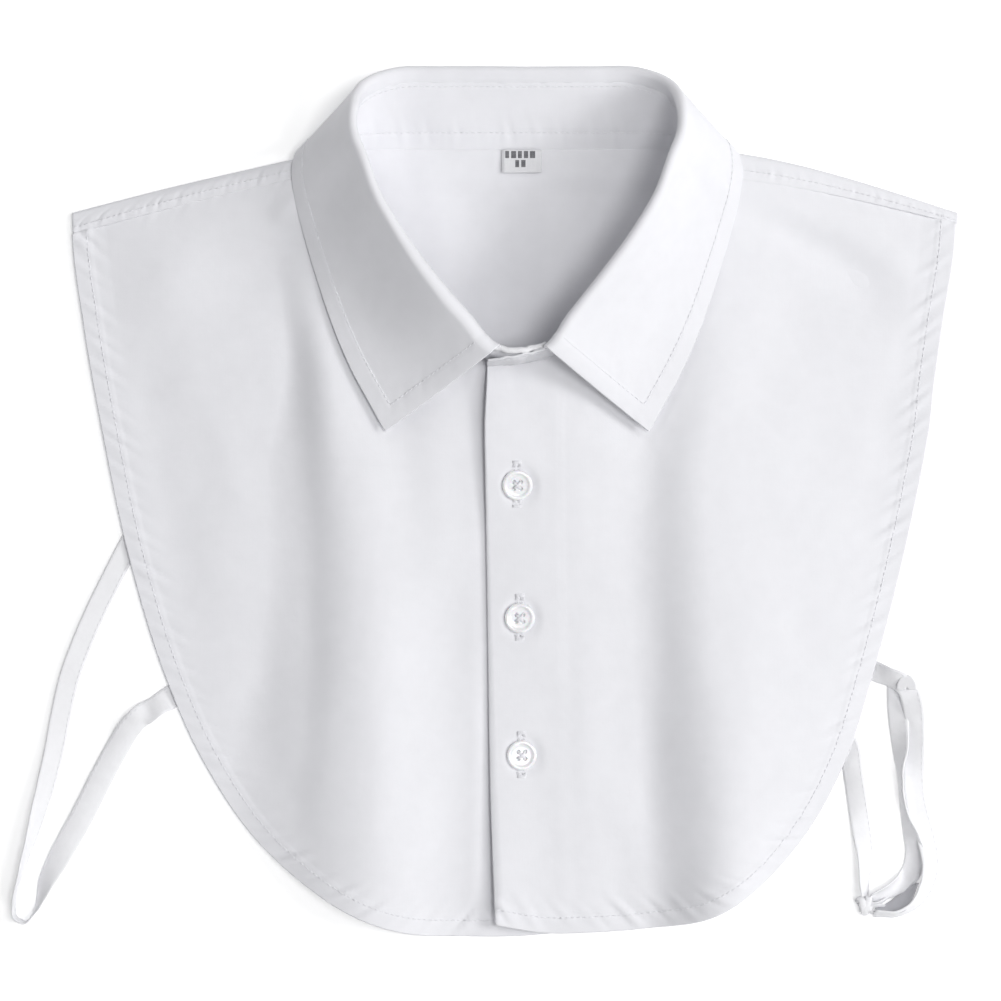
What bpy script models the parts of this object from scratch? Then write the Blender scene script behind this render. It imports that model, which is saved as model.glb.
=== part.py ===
"""Detachable shirt collar: a shirt's collar, bib fronts and bib back without sleeves or body.

It lies on its back, fronts up, fastened, with its neck towards +Y and its hem towards -Y. The origin is
on the surface it lies on. Sizes are in millimetres while a shape is worked out, and the meshes are made in
metres. Every cloth piece is a middle surface, given as a grid of points, that is moved half a wall out
and half a wall in along its own normals.
"""

import math

import bmesh
import bpy
import numpy as np
from mathutils import Matrix, Vector
from mathutils.bvhtree import BVHTree

MM = 0.001

# Walls and gaps
CLOTH = 1.2            # wall of the fronts, the back and the stand
LEAF = 1.0             # wall of the folded-down collar leaf
TAPE = 0.9             # wall of the side tapes
TAPE_WIDTH = 8.4
SEAM = 0.3             # gap between two pieces at a seam
HEM_WIDTH = 7.5
HEM_RAISE = 0.4        # the turned hem stands proud of the panel
HEM_STEP = 0.6         # over this width
BACK_REST = CLOTH / 2  # middle of the back where it lies on the surface
FRONT_REST = 2.4       # middle of a front where it lies on the back

# The neck ring. Its middle is this far from the origin.
NECK_X = 0.8
NECK_Y = 105.6
ROLL = 1.9             # radius of the leaf's fold, at its middle
FOLD_BIAS = 12.0       # how far the fold follows the stand's own outer side, not the way to the edge
FOLD_LIMIT = math.radians(165)

# Half of the collar, from centre back to the front, for the side towards +X. A row is one section through
# the stand and the leaf. Rise is how far the leaf's seam lies below the fold, and belly is how far the leaf
# hangs below (+) or bulges above (-) the straight line from fold to edge.
#    seam x, y, z          fold x, y, z           edge x, y, z           rise  belly
HALF_COLLAR = (
    (0.0, 42.2, 2.1,       0.0, 74.4, 14.0,       0.0, 33.1, 0.5,        6.0, 4.5),
    (29.4, 42.2, 2.1,      29.1, 74.4, 14.3,      32.7, 33.1, 0.5,       6.0, 4.5),
    (52.6, 42.2, 2.3,      50.2, 73.3, 15.5,      62.0, 33.6, 0.5,       6.0, 4.5),
    (64.2, 42.0, 3.6,      58.8, 69.6, 18.5,      81.8, 34.6, 0.5,       6.0, 2.0),
    (69.0, 41.7, 5.2,      62.0, 66.8, 21.0,      87.4, 40.4, 1.9,       6.0, 0.6),
    (73.0, 41.3, 6.6,      63.9, 63.6, 24.0,      90.4, 41.2, 5.0,       6.0, -0.4),
    (76.8, 40.7, 8.0,      65.2, 60.2, 27.5,      92.2, 39.6, 8.6,       6.0, -1.0),
    (79.6, 39.4, 9.2,      65.8, 57.0, 31.0,      93.4, 34.6, 10.6,      6.0, -1.0),
    (79.6, 33.4, 10.2,     65.8, 45.9, 37.0,      92.2, 20.1, 10.4,      5.6, -1.5),
    (76.3, 28.3, 11.0,     62.4, 37.0, 40.0,      89.6, 9.2, 10.8,       5.2, -1.5),
    (69.1, 14.0, 12.5,     56.6, 21.2, 42.5,      84.5, -8.4, 11.8,      4.6, -1.5),
    (58.6, -2.3, 14.0,     47.4, 5.4, 44.0,       77.8, -28.9, 13.4,     3.8, -1.5),
    (40.3, -24.0, 15.6,    31.7, -15.6, 45.0,     68.5, -51.1, 14.6,     3.0, -1.5),
)
# Front ends of the collar. The stand of the side towards +X laps outside the other one.
FRONT_OUTER = (
    (24.9, -38.8, 17.1,    20.4, -29.8, 45.5,     61.3, -64.4, 15.2,     2.4, -1.2),
    (11.4, -47.0, 18.1,    11.2, -42.1, 45.5,     54.8, -76.2, 15.5,     2.0, -1.0),
    (0.0, -49.8, 18.3,     1.0, -44.9, 45.0,      54.8, -76.2, 15.5,     2.0, -1.0),
    (-12.4, -49.0, 18.3,   -12.0, -47.6, 38.0,    54.8, -76.2, 15.5,     2.0, -1.0),
)
FRONT_INNER = (
    (24.7, -38.2, 16.2,    19.6, -29.4, 45.5,     61.3, -64.4, 15.2,     2.4, -1.2),
    (9.6, -46.2, 16.4,     7.4, -41.8, 45.5,      54.8, -76.2, 15.5,     2.0, -1.0),
    (0.0, -47.8, 16.4,     -1.0, -42.7, 45.0,     54.8, -76.2, 15.5,     2.0, -1.0),
    (-12.4, -46.6, 16.4,   -11.8, -40.4, 40.0,    54.8, -76.2, 15.5,     2.0, -1.0),
)
LEAF_ENDS = 2          # the leaf stops at the second row of each front end
SEAM_SHARE = 0.0011    # share of the ring that parts a front from the back at the shoulder seam
CENTRE_SHARE = 0.0004  # and that a front's centre edge lies inside the stand's end
SHOULDER_ROW = 8.3     # the shoulder seam meets the neck ring a little past this row of the half collar
CORNER_ROW = 3.3       # and the shoulder fold starts at this one, on the back

# Outline of the bib, from the shoulder tip down each side.
#    y        left x   right x
SIDES = (
    (121.2, -185.4, 185.4),
    (109.0, -185.2, 184.9),
    (76.0, -181.0, 180.0),
    (26.0, -172.2, 172.6),
    (-24.6, -161.3, 162.1),
    (-75.0, -145.7, 148.7),
    (-108.6, -130.6, 137.8),
    (-142.2, -107.5, 118.9),
    (-159.0, -88.6, 103.3),
    (-173.0, -65.8, 82.0),
)
# Bottom hem of each front, from its side to its centre front edge.
#    x      y
UNDER_HEM = ((-45.8, -179.8), (-18.0, -181.9), (3.0, -181.7), (17.5, -180.5))
OVER_HEM = ((52.0, -178.9), (31.5, -180.2), (12.2, -180.3), (-8.0, -176.7))
# Centre front edge of the upper front, from neck to hem.
OVER_EDGE = ((-12.9, 55.6), (-12.1, 9.0), (-11.0, -62.0), (-10.0, -121.0), (-8.0, -176.7))
LAP_MIDDLE = 3.0       # middle of the lap, where the fronts lie apart by
OVER_LIFT = 1.8        # this much up for the upper one
UNDER_LIFT = -0.3      # and this much down for the lower one
LAP_NEAR = 24.0        # over this half width
LAP_FAR = 44.0         # fading out to this one

# Shoulders
SHOULDER_STRIP = 8.5   # the seam lies this far in front of the shoulder's fold
TIP_RADIUS = 1.0       # radius of the shoulder fold at the tip
BACK_INSET = 4.5       # the back's side edge lies this far inside the front's
BACK_SHORT = 8.0       # and its hem this far above the front's
SHOULDER_BOW = (1.2, 4.0)   # how far the shoulder swells out between neck and tip, on the -X and +X side
BOW_START = (0.12, 0.12)    # share of the shoulder's length where the swell starts
BOW_DEPTH = (12.0, 60.0)    # it fades out between these distances from the shoulder line

# Long soft folds down the fronts. Crest x at three heights, the crest's height at three
# heights, and how far each fold spreads to -X and to +X of its crest.
FOLD_Y = (115.0, 20.0, -175.0)
#    crest x top, middle, bottom    height top, middle, bottom    spread -X  spread +X
FOLDS = (
    (-84.0, -76.0, -68.0,           0.0, 5.0, 2.2,                17.0, 52.0),
    (92.0, 86.0, 84.0,              0.0, 5.5, 2.4,                26.0, 58.0),
)

# Buttons: middle x, y
BUTTONS = ((0.8, 6.9), (1.9, -48.7), (2.7, -106.2))
BUTTON_RADIUS = 6.3
BUTTON_THICK = 2.2
BUTTON_SIDES = 20
HOLE_RADIUS = 0.9
HOLE_OFFSET = 1.55

# Size label in the back neck
LABEL_WIDTH = 16.4
LABEL_HEIGHT = 9.2
LABEL_X = 2.7
LABEL_THICK = 0.6

# Side tapes. A row is a point on the middle line, how far the tape's lowest side lies above the surface,
# and the tape's turn about the line in degrees: 0 lies flat, 90 stands on its edge.
#    x       y       rise  turn
LEFT_TAPE = (
    (-162.0, -18.0, 0.3, 0), (-165.4, -24.0, 0.3, 0), (-170.4, -33.0, 0.3, 0), (-175.6, -45.0, 0.3, 0),
    (-181.0, -60.0, 0.3, 0), (-185.6, -75.0, 0.3, 0), (-189.6, -90.0, 0.3, 10), (-193.8, -106.0, 0.3, 30),
    (-198.6, -124.0, 0.3, 60), (-203.4, -142.0, 0.3, 88), (-207.6, -158.0, 0.3, 90),
    (-209.8, -168.0, 0.3, 90), (-209.2, -174.5, 0.3, 90), (-205.0, -176.4, 0.3, 90),
    (-201.0, -171.4, 0.3, 90), (-196.2, -159.0, 0.3, 55),
    (-189.4, -145.6, 0.3, 20), (-181.6, -132.0, 0.3, 0), (-173.4, -117.6, 0.3, 0), (-165.0, -101.4, 0.4, 0),
    (-158.6, -91.6, 0.9, 0), (-152.6, -87.0, 0.5, 0), (-147.4, -84.4, 0.3, 0), (-144.0, -83.0, 0.3, 0),
)
RIGHT_FRONT_TAPE = (
    (147.2, -70.2, 0.3, 0), (151.6, -71.2, 0.3, 0), (157.0, -73.0, 2.4, 0), (161.8, -75.6, 4.6, 0),
    (165.2, -81.0, 4.6, 0), (166.6, -90.0, 3.0, 0), (167.2, -101.0, 2.4, 0), (168.6, -114.0, 1.9, 0),
    (170.8, -128.0, 1.7, 5), (173.6, -141.0, 1.5, 15), (174.4, -152.0, 1.2, 30), (172.0, -162.4, 0.6, 50),
    (166.6, -169.6, 0.2, 62), (158.6, -172.8, 0.3, 66), (150.6, -171.8, 0.3, 66),
)
RIGHT_INNER_TAPE = (
    (160.2, -82.0, 0.3, 0), (160.2, -92.0, 0.3, 0), (160.2, -102.0, 0.3, -25), (160.0, -112.0, 0.3, -75),
    (160.6, -124.0, 0.3, -85), (163.2, -136.0, 0.3, -50), (165.4, -146.0, 0.3, -30),
    (163.8, -155.4, 0.3, -40),
    (157.6, -162.0, 0.3, -60), (150.5, -165.8, 0.3, -66),
)
RIGHT_BACK_TAPE = (
    (138.6, -99.0, 0.3, 0), (140.6, -104.6, 0.3, 0), (141.4, -112.0, 0.3, 0), (143.2, -124.0, 0.3, 15),
    (145.2, -137.0, 0.3, 35), (146.4, -150.0, 0.3, 55), (146.2, -158.0, 0.3, 65), (146.4, -165.0, 0.3, 68),
)
KNOT = (146.4, -169.0, 3.7)
KNOT_SIZE = (4.2, 4.4, 3.4)

# Grid counts
COLLAR_SECTIONS = 58
FRONT_COLUMNS = 27
FRONT_ROWS = 17
BACK_COLUMNS = 30
BACK_ROWS = (0.0, 0.02, 0.045, 0.07, 0.1, 0.14, 0.2, 0.3, 0.45, 0.6, 0.7, 0.8, 0.9, 1.0)
WRAP_COLUMNS = 6
RIM_SAMPLES = 400
EDGE_SAMPLES = 60
RIM_SPREAD = 0.85      # below 1 the columns stand wider apart at the hem than at the shoulder
EDGE_LENGTH = 230.0    # length of the centre front edge

# Material colours as linear values, roughness
CLOTH_COLOUR = (0.80, 0.80, 0.83, 1.0)
TAPE_COLOUR = (0.84, 0.84, 0.86, 1.0)
BUTTON_COLOUR = (0.82, 0.82, 0.84, 1.0)
LABEL_COLOUR = (0.72, 0.72, 0.75, 1.0)


def knots(rows, first=0):
    """Distance along the polyline of three columns, from 0 to 1."""
    steps = np.linalg.norm(np.diff(rows[:, first:first + 3], axis=0), axis=1)
    along = np.concatenate(([0.0], np.cumsum(steps)))
    return along / along[-1]


def curve(rows, at, first=0):
    """Points of a smooth curve that passes through every row, at the given shares of its length.

    Between two rows it is a cubic whose end slopes come from the rows on both sides.
    """
    rows = np.asarray(rows, float)
    knot = knots(rows, first)
    slope = np.gradient(rows, knot, axis=0)
    at = np.clip(np.asarray(at, float), 0.0, 1.0)
    low = np.clip(np.searchsorted(knot, at, side="right") - 1, 0, len(knot) - 2)
    width = (knot[low + 1] - knot[low])[:, None]
    f = (at - knot[low])[:, None] / width
    ends = (2 * f**3 - 3 * f**2 + 1) * rows[low] + (3 * f**2 - 2 * f**3) * rows[low + 1]
    slopes = (f**3 - 2 * f**2 + f) * slope[low] + (f**3 - f**2) * slope[low + 1]
    return ends + slopes * width


def plane_curve(points, count):
    """A smooth curve in the plan through a few points, at even shares of its length."""
    flat = np.array([(x, y, 0.0) for x, y in points])
    return curve(flat, np.linspace(0, 1, count))[:, :2]


def ramp(value, start, end):
    """0 before start, 1 after end and a smooth step between them."""
    f = np.clip((value - start) / (end - start), 0.0, 1.0)
    return f * f * (3 - 2 * f)


def unit(vectors):
    """Vectors brought to length 1."""
    return vectors / np.linalg.norm(vectors, axis=-1, keepdims=True)


def whole_collar():
    """Rows of the whole ring, from the inner front end round the back to the outer one."""
    mirror = np.array([-1, 1, 1, -1, 1, 1, -1, 1, 1, 1, 1])
    half = np.array(HALF_COLLAR)
    inner = np.array(FRONT_INNER) * mirror
    outer = np.array(FRONT_OUTER)
    ring = np.vstack((inner[::-1], (half * mirror)[:0:-1], half, outer))
    ring[:, (0, 3, 6)] += NECK_X
    ring[:, (1, 4, 7)] += NECK_Y
    return ring


COLLAR = whole_collar()
COLLAR_KNOTS = knots(COLLAR, first=3)
BACK_ROW = len(FRONT_INNER) + len(HALF_COLLAR) - 1


def ring_share(row, side):
    """Share of the ring's length at a row of the half collar, which may lie between two rows."""
    place = BACK_ROW + side * row
    return float(np.interp(place, np.arange(len(COLLAR_KNOTS)), COLLAR_KNOTS))


def ring(at):
    """Section rows of the ring at the given shares of the fold's length."""
    return curve(COLLAR, at, first=3)


def neck_edge(at, gap):
    """Points on the neck seam, moved out of the ring in the plan by a gap."""
    at = np.asarray(at, float)
    points = ring(at)[:, :3]
    ahead = ring(np.clip(at + 0.002, 0, 1))[:, :2]
    behind = ring(np.clip(at - 0.002, 0, 1))[:, :2]
    along = unit(ahead - behind)
    out = np.stack((-along[:, 1], along[:, 0]), axis=1)
    points[:, :2] += out * gap
    return points


def lean(section):
    """Length of the step that parts the stand's foot from the panels, wider where they meet at an angle."""
    up = section[:, 3:6] - section[:, :3]
    steep = up[:, 2] / np.linalg.norm(up, axis=1)
    return SEAM / 2 + 0.55 * steep


def surface_normals(points):
    """Unit normals of a grid of points, across its rows and columns."""
    down = np.gradient(points, axis=0)
    along = np.gradient(points, axis=1)
    return unit(np.cross(down, along))


def stand_surface():
    """The stand: a band from just above the neck seam to just below the leaf."""
    at = np.linspace(0, 1, COLLAR_SECTIONS)
    section = ring(at)
    rise = section[:, 9:10]
    up = unit(section[:, 3:6] - section[:, :3])
    foot = section[:, :3] + up * lean(section)[:, None]
    top = section[:, 3:6] - up * (rise + SEAM * 0.7)
    share = np.linspace(0, 1, 5)[:, None, None]
    return foot + (top - foot) * share


def leaf_surface():
    """The leaf: up from the stand, over the fold and down to the collar's edge.

    In the plane of the stand's direction and the edge, the fold is an arc that leaves the stand's
    direction and ends where its tangent meets the edge. The straight rest gets the belly.
    """
    start = COLLAR_KNOTS[LEAF_ENDS]
    end = COLLAR_KNOTS[-1 - LEAF_ENDS]
    at = np.linspace(start, end, COLLAR_SECTIONS - 4)
    section = ring(at)
    fold = section[:, 3:6]
    edge = section[:, 6:9]
    rise = section[:, 9:10]
    belly = section[:, 10:11]
    up = unit(fold - section[:, :3])
    reach = edge - fold
    across = np.cross(up, unit(np.gradient(fold, axis=0)))
    aside = reach - np.sum(reach * up, axis=1, keepdims=True) * up
    over = unit(aside + FOLD_BIAS * across)
    low = np.sum(reach * up, axis=1)
    far = np.sum(reach * over, axis=1)
    heading = np.mod(np.arctan2(far - ROLL, low), 2 * math.pi)
    turn = np.minimum(heading + np.arcsin(ROLL / np.hypot(low, far - ROLL)), FOLD_LIMIT)

    rows = [fold - up * (rise - SEAM * 0.7), fold - up * rise * 0.45]
    for share in (0.0, 0.22, 0.42, 0.62, 0.82, 1.0):
        angle = (turn * share)[:, None]
        rows.append(fold + up * ROLL * np.sin(angle) + over * ROLL * (1 - np.cos(angle)))
    last = rows[-1]
    for share in (0.2, 0.42, 0.64, 0.84, 1.0):
        point = last + (edge - last) * share
        point[:, 2:3] -= belly * math.sin(math.pi * share)
        rows.append(point)
    grid = np.array(rows)
    grid[:, :, 2] = np.maximum(grid[:, :, 2], LEAF / 2)
    return grid


def side_curve(side, count, start=0.0, end=1.0):
    """The bib's outline on one side, in the plan, from the shoulder tip to the bottom hem."""
    column = 1 if side < 0 else 2
    points = [(row[column], row[0], 0.0) for row in SIDES]
    hem = UNDER_HEM if side < 0 else OVER_HEM
    points += [(x, y, 0.0) for x, y in hem]
    return curve(np.array(points), np.linspace(start, end, count))[:, :2]


def shoulder_frame(side):
    """Tip, direction from neck to tip and outward direction of one shoulder, in the plan."""
    tip = np.array([SIDES[0][1 if side < 0 else 2], SIDES[0][0]])
    neck = np.array([NECK_X + side * 79.4, NECK_Y + 41.0])
    along = unit(tip - neck)
    out = np.array([-along[1], along[0]]) * side
    return tip, along, out


def bowed(points, side):
    """The points with the shoulder swelled out: a parabola along the shoulder that fades with the depth."""
    tip, along, out = shoulder_frame(side)
    length = np.linalg.norm(tip - np.array([NECK_X + side * 79.4, NECK_Y + 41.0]))
    from_tip = tip - points[..., :2]
    which = 0 if side < 0 else 1
    start = BOW_START[which]
    share = np.clip((1 - from_tip @ along / length - start) / (1 - start), 0, 1)
    weight = 1 - ramp(from_tip @ out, *BOW_DEPTH)
    swell = SHOULDER_BOW[which] * 4 * share * (1 - share) * weight
    points = points.copy()
    points[..., :2] += out * swell[..., None]
    return points


def tip_turn(side, shares):
    """The shoulder fold at its tip: the strip in front, then half a turn down to the back."""
    tip, _, out = shoulder_frame(side)
    flat = SHOULDER_STRIP - CLOTH / 2 - TIP_RADIUS
    length = flat + math.pi * TIP_RADIUS
    run = shares * length
    angle = np.clip((run - flat) / TIP_RADIUS, 0, math.pi)
    inward = CLOTH / 2 + TIP_RADIUS + np.clip(flat - run, 0, None) - TIP_RADIUS * np.sin(angle)
    plan = tip - inward[:, None] * out
    height = BACK_REST + TIP_RADIUS + TIP_RADIUS * np.cos(angle)
    return np.column_stack((plan, height))


def back_outline(count):
    """The back's edge in the plan, from the right tip round the hem to the left tip."""
    right = side_curve(1, count)
    left = side_curve(-1, count)[::-1]
    points = np.vstack((right[right[:, 0] > 0], left[left[:, 0] < 0]))
    inset = BACK_INSET * ramp(-points[:, 1], -116.0, -104.0)
    points[:, 0] -= np.sign(points[:, 0]) * inset
    points[:, 1] += BACK_SHORT * ramp(-points[:, 1], -60.0, 170.0)
    return points


def resample(points, count):
    """The same polyline with evenly spaced points."""
    steps = np.linalg.norm(np.diff(points, axis=0), axis=1)
    along = np.concatenate(([0.0], np.cumsum(steps)))
    even = np.linspace(0, along[-1], count)
    return np.column_stack([np.interp(even, along, points[:, i]) for i in range(points.shape[1])])


def back_surface():
    """The back: lines fan out from the neck seam to the outline, and round each shoulder to the front."""
    shares = np.linspace(0, 1, WRAP_COLUMNS)
    outer = resample(back_outline(120), BACK_COLUMNS + 2)[1:-1]
    low = np.full((len(outer), 1), BACK_REST)
    rim = np.vstack((tip_turn(1, shares), np.hstack((outer, low)), tip_turn(-1, shares)[::-1]))

    seam_right = ring_share(SHOULDER_ROW, 1)
    corner_right = ring_share(CORNER_ROW, 1)
    corner_left = ring_share(CORNER_ROW, -1)
    seam_left = ring_share(SHOULDER_ROW, -1)
    middle = np.linspace(corner_right, corner_left, BACK_COLUMNS + 2)[1:-1]
    at = np.concatenate((
        np.linspace(seam_right, corner_right, WRAP_COLUMNS),
        middle,
        np.linspace(corner_left, seam_left, WRAP_COLUMNS)))
    section = ring(at)
    neck = section[:, :3].copy()
    neck[:, :2] += unit(rim[:, :2] - neck[:, :2]) * lean(section)[:, None]

    wrap = np.zeros(len(at))
    wrap[:WRAP_COLUMNS] = 1.0
    wrap[-WRAP_COLUMNS:] = 1.0
    fade = np.linspace(0.8, 0.0, 5)
    wrap[WRAP_COLUMNS:WRAP_COLUMNS + 5] = fade
    wrap[-WRAP_COLUMNS - 5:-WRAP_COLUMNS] = fade[::-1]

    rows = []
    for share in BACK_ROWS:
        point = neck + (rim - neck) * share
        drop = NECK_Y + HALF_COLLAR[0][1] - point[:, 1]
        stay = 1 - ramp(drop, 10.5, 20.0)
        keep = wrap * (1 - share) + (1 - wrap) * stay
        point[:, 2] = rim[:, 2] + (neck[:, 2] - rim[:, 2]) * keep
        rows.append(point)
    return bowed(bowed(np.array(rows), 1), -1)


def fold_height(x, y):
    """Height that the long soft folds add to a front. Each is a raised cosine across its crest."""
    height = np.zeros_like(x)
    for top, middle, bottom, high_top, high, high_bottom, before, after in FOLDS:
        crest = np.interp(-y, [-v for v in FOLD_Y], (top, middle, bottom))
        tall = np.interp(-y, [-v for v in FOLD_Y], (high_top, high, high_bottom))
        across = x - crest
        width = np.where(across < 0, before, after)
        height += tall * (0.5 + 0.5 * np.cos(np.pi * np.clip(across / width, -1, 1)))
    return height


def front_rim(side):
    """Outline of one front in the plan, from its centre front corner round to the shoulder seam."""
    tip, along, out = shoulder_frame(side)
    strip_end = tip - out * (SHOULDER_STRIP + SEAM)
    outline = side_curve(side, RIM_SAMPLES)[::-1]
    outline = outline[outline[:, 1] < strip_end[1]]
    outline = resample(np.vstack((outline, strip_end + along * 0.2)), RIM_SAMPLES)
    take = np.linspace(0, 1, FRONT_COLUMNS)**RIM_SPREAD * (RIM_SAMPLES - 1)
    return np.column_stack([np.interp(take, np.arange(RIM_SAMPLES), outline[:, i]) for i in (0, 1)])


def centre_edge(side, top, corner):
    """Centre front edge in the plan, at even steps of y from the neck to the hem corner.

    The upper front's follows its table. The lower front's has the same course, moved over by the lap.
    """
    share = np.linspace(0, 1, EDGE_SAMPLES)
    drawn = plane_curve(OVER_EDGE, EDGE_SAMPLES)
    y = top[1] + (corner[1] - top[1]) * share
    x = np.interp(-y, -drawn[:, 1], drawn[:, 0])
    if side < 0:
        x += top[0] - x[0]
        x += (corner[0] - x[-1]) * share
    else:
        x += (top[0] - x[0]) * (1 - ramp(share, 0.0, 0.12))
        x += (corner[0] - x[-1]) * ramp(share, 0.7, 1.0)
    return np.column_stack((x, y))


def front_plan(side, neck, rows, inset):
    """Plan of one front: every row blends neck, outline moved in, centre edge and shoulder seam."""
    _, along, _ = shoulder_frame(side)
    rim = front_rim(side)
    heading = unit(np.gradient(rim, axis=0))
    inward = np.column_stack((-heading[:, 1], heading[:, 0])) * side
    edge = centre_edge(side, neck[0], (OVER_HEM if side > 0 else UNDER_HEM)[-1])
    edge_share = np.linspace(0, 1, EDGE_SAMPLES)
    u = np.linspace(0, 1, FRONT_COLUMNS)[:, None]
    plan = np.zeros((len(rows), FRONT_COLUMNS, 2))
    for i, v in enumerate(rows):
        goal = rim + inward * inset[i]
        goal[0, 0] = np.interp(1 - inset[i] / EDGE_LENGTH, edge_share, edge[:, 0])
        goal[-1] = rim[-1] - along * inset[i]
        down = v * (1 - inset[i] / EDGE_LENGTH)
        left = np.array([np.interp(down, edge_share, edge[:, k]) for k in (0, 1)])
        right = neck[-1] + (goal[-1] - neck[-1]) * v
        corners = (1 - u) * ((1 - v) * neck[0] + v * goal[0]) + u * ((1 - v) * neck[-1] + v * goal[-1])
        plan[i] = (1 - v) * neck + v * goal + (1 - u) * left + u * right - corners
    return plan


def front_height(plan, v, top, side):
    """Height of one front: it falls from the neck seam to its rest, with the long folds and the lap."""
    x = plan[:, :, 0]
    y = plan[:, :, 1]
    u = np.linspace(0, 1, FRONT_COLUMNS)[None, :]
    shoulder = ramp(u, 0.8, 1.0)
    rest = FRONT_REST + (BACK_REST + 2 * TIP_RADIUS - FRONT_REST) * shoulder
    fall = 0.25 * (1 - v) + 0.75 * (1 - v)**4
    keep = fall * (1 - shoulder) + (1 - v) * shoulder
    height = rest + (top[None, :] - rest) * keep
    height += fold_height(x, y) * (1 - shoulder) * ramp(v, 0.08, 0.4)
    lift = OVER_LIFT if side > 0 else UNDER_LIFT
    lap = 1 - ramp(np.abs(x - LAP_MIDDLE), LAP_NEAR, LAP_FAR)
    return height + lift * lap * ramp(v, 0.0, 0.05)


def front_surface(side):
    """One front as a grid from neck to outline, and how far the turned hem stands proud of it."""
    seam = ring_share(SHOULDER_ROW, side) + side * SEAM_SHARE
    centre = 1.0 - CENTRE_SHARE if side > 0 else CENTRE_SHARE
    at = centre + (seam - centre) * np.linspace(0, 1, FRONT_COLUMNS)
    gap = lean(ring(at))[:, None]
    neck = neck_edge(at, 0.0) * (1 - gap) + neck_edge(at, 1.0) * gap

    rows = np.concatenate((np.linspace(0, 1, FRONT_ROWS)**1.15, [1.0, 1.0, 1.0]))
    inset = np.full(len(rows), HEM_WIDTH + HEM_STEP)
    inset[-3:] = (HEM_WIDTH, HEM_WIDTH / 2, 0.0)
    plan = front_plan(side, neck[:, :2], rows, inset)
    height = front_height(plan, rows[:, None], neck[:, 2], side)
    raised = np.zeros(height.shape)
    raised[-3:, :] = HEM_RAISE
    return bowed(np.dstack((plan, height)), side), raised


def add_object(name, mesh, material, smooth_angle=40.0):
    """A finished mesh as one object in the scene."""
    mesh.materials.append(material)
    mesh.shade_smooth()
    mesh.set_sharp_from_angle(angle=math.radians(smooth_angle))
    item = bpy.data.objects.new(name, mesh)
    bpy.context.scene.collection.objects.link(item)
    return item


def wall(name, points, thick, material, raised=None, flip=False):
    """A closed cloth wall around a grid of middle points."""
    normal = surface_normals(points)
    if flip:
        normal = -normal
    extra = 0.0 if raised is None else raised[:, :, None]
    faces_out = points + normal * (thick / 2 + extra)
    faces_in = points - normal * thick / 2
    return sheet_solid(name, faces_out, faces_in, material)


def sheet_solid(name, upper, lower, material):
    """A closed solid between two grids of the same size, the upper one facing out."""
    rows, columns = upper.shape[:2]
    bm = bmesh.new()
    top = [[bm.verts.new(Vector(p) * MM) for p in row] for row in upper]
    bottom = [[bm.verts.new(Vector(p) * MM) for p in row] for row in lower]
    for i in range(rows - 1):
        for j in range(columns - 1):
            bm.faces.new((top[i][j], top[i + 1][j], top[i + 1][j + 1], top[i][j + 1]))
            bm.faces.new((bottom[i][j], bottom[i][j + 1], bottom[i + 1][j + 1], bottom[i + 1][j]))
    around = [(0, j) for j in range(columns)]
    around += [(i, columns - 1) for i in range(1, rows)]
    around += [(rows - 1, j) for j in range(columns - 2, -1, -1)]
    around += [(i, 0) for i in range(rows - 2, 0, -1)]
    for (i, j), (k, m) in zip(around, around[1:] + around[:1]):
        bm.faces.new((top[i][j], top[k][m], bottom[k][m], bottom[i][j]))
    bmesh.ops.recalc_face_normals(bm, faces=bm.faces)
    if bm.calc_volume(signed=True) < 0:
        bmesh.ops.reverse_faces(bm, faces=bm.faces)
    bmesh.ops.triangulate(bm, faces=bm.faces)
    mesh = bpy.data.meshes.new(name)
    bm.to_mesh(mesh)
    bm.free()
    return add_object(name, mesh, material)


def paint(name, colour, roughness):
    """A plain Principled material."""
    material = bpy.data.materials.new(name)
    material.use_nodes = True
    shader = material.node_tree.nodes["Principled BSDF"]
    shader.inputs["Base Color"].default_value = colour
    shader.inputs["Roughness"].default_value = roughness
    shader.inputs["Metallic"].default_value = 0.0
    return material


def seat_on(item, x, y, radius):
    """Middle and normal of the plane on which a disc rests on a piece, found from above."""
    corners = [vert.co for vert in item.data.vertices]
    tree = BVHTree.FromPolygons(corners, [face.vertices for face in item.data.polygons])
    spots = [(0.0, 0.0)] + [(math.cos(a) * radius, math.sin(a) * radius)
                            for a in np.linspace(0, 2 * math.pi, 13)[:-1]]
    hits = []
    for dx, dy in spots:
        start = Vector((x + dx, y + dy, 100.0)) * MM
        hits.append(np.array(tree.ray_cast(start, Vector((0, 0, -1)))[0]) / MM)
    hits = np.array(hits)
    slope = np.linalg.lstsq(np.column_stack((hits[:, :2], np.ones(len(hits)))), hits[:, 2], rcond=None)[0]
    normal = unit(np.array([-slope[0], -slope[1], 1.0]))
    middle = np.array([x, y, slope[0] * x + slope[1] * y + slope[2]])
    lift = np.max((hits - middle) @ normal)
    return middle + normal * lift, normal


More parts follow.
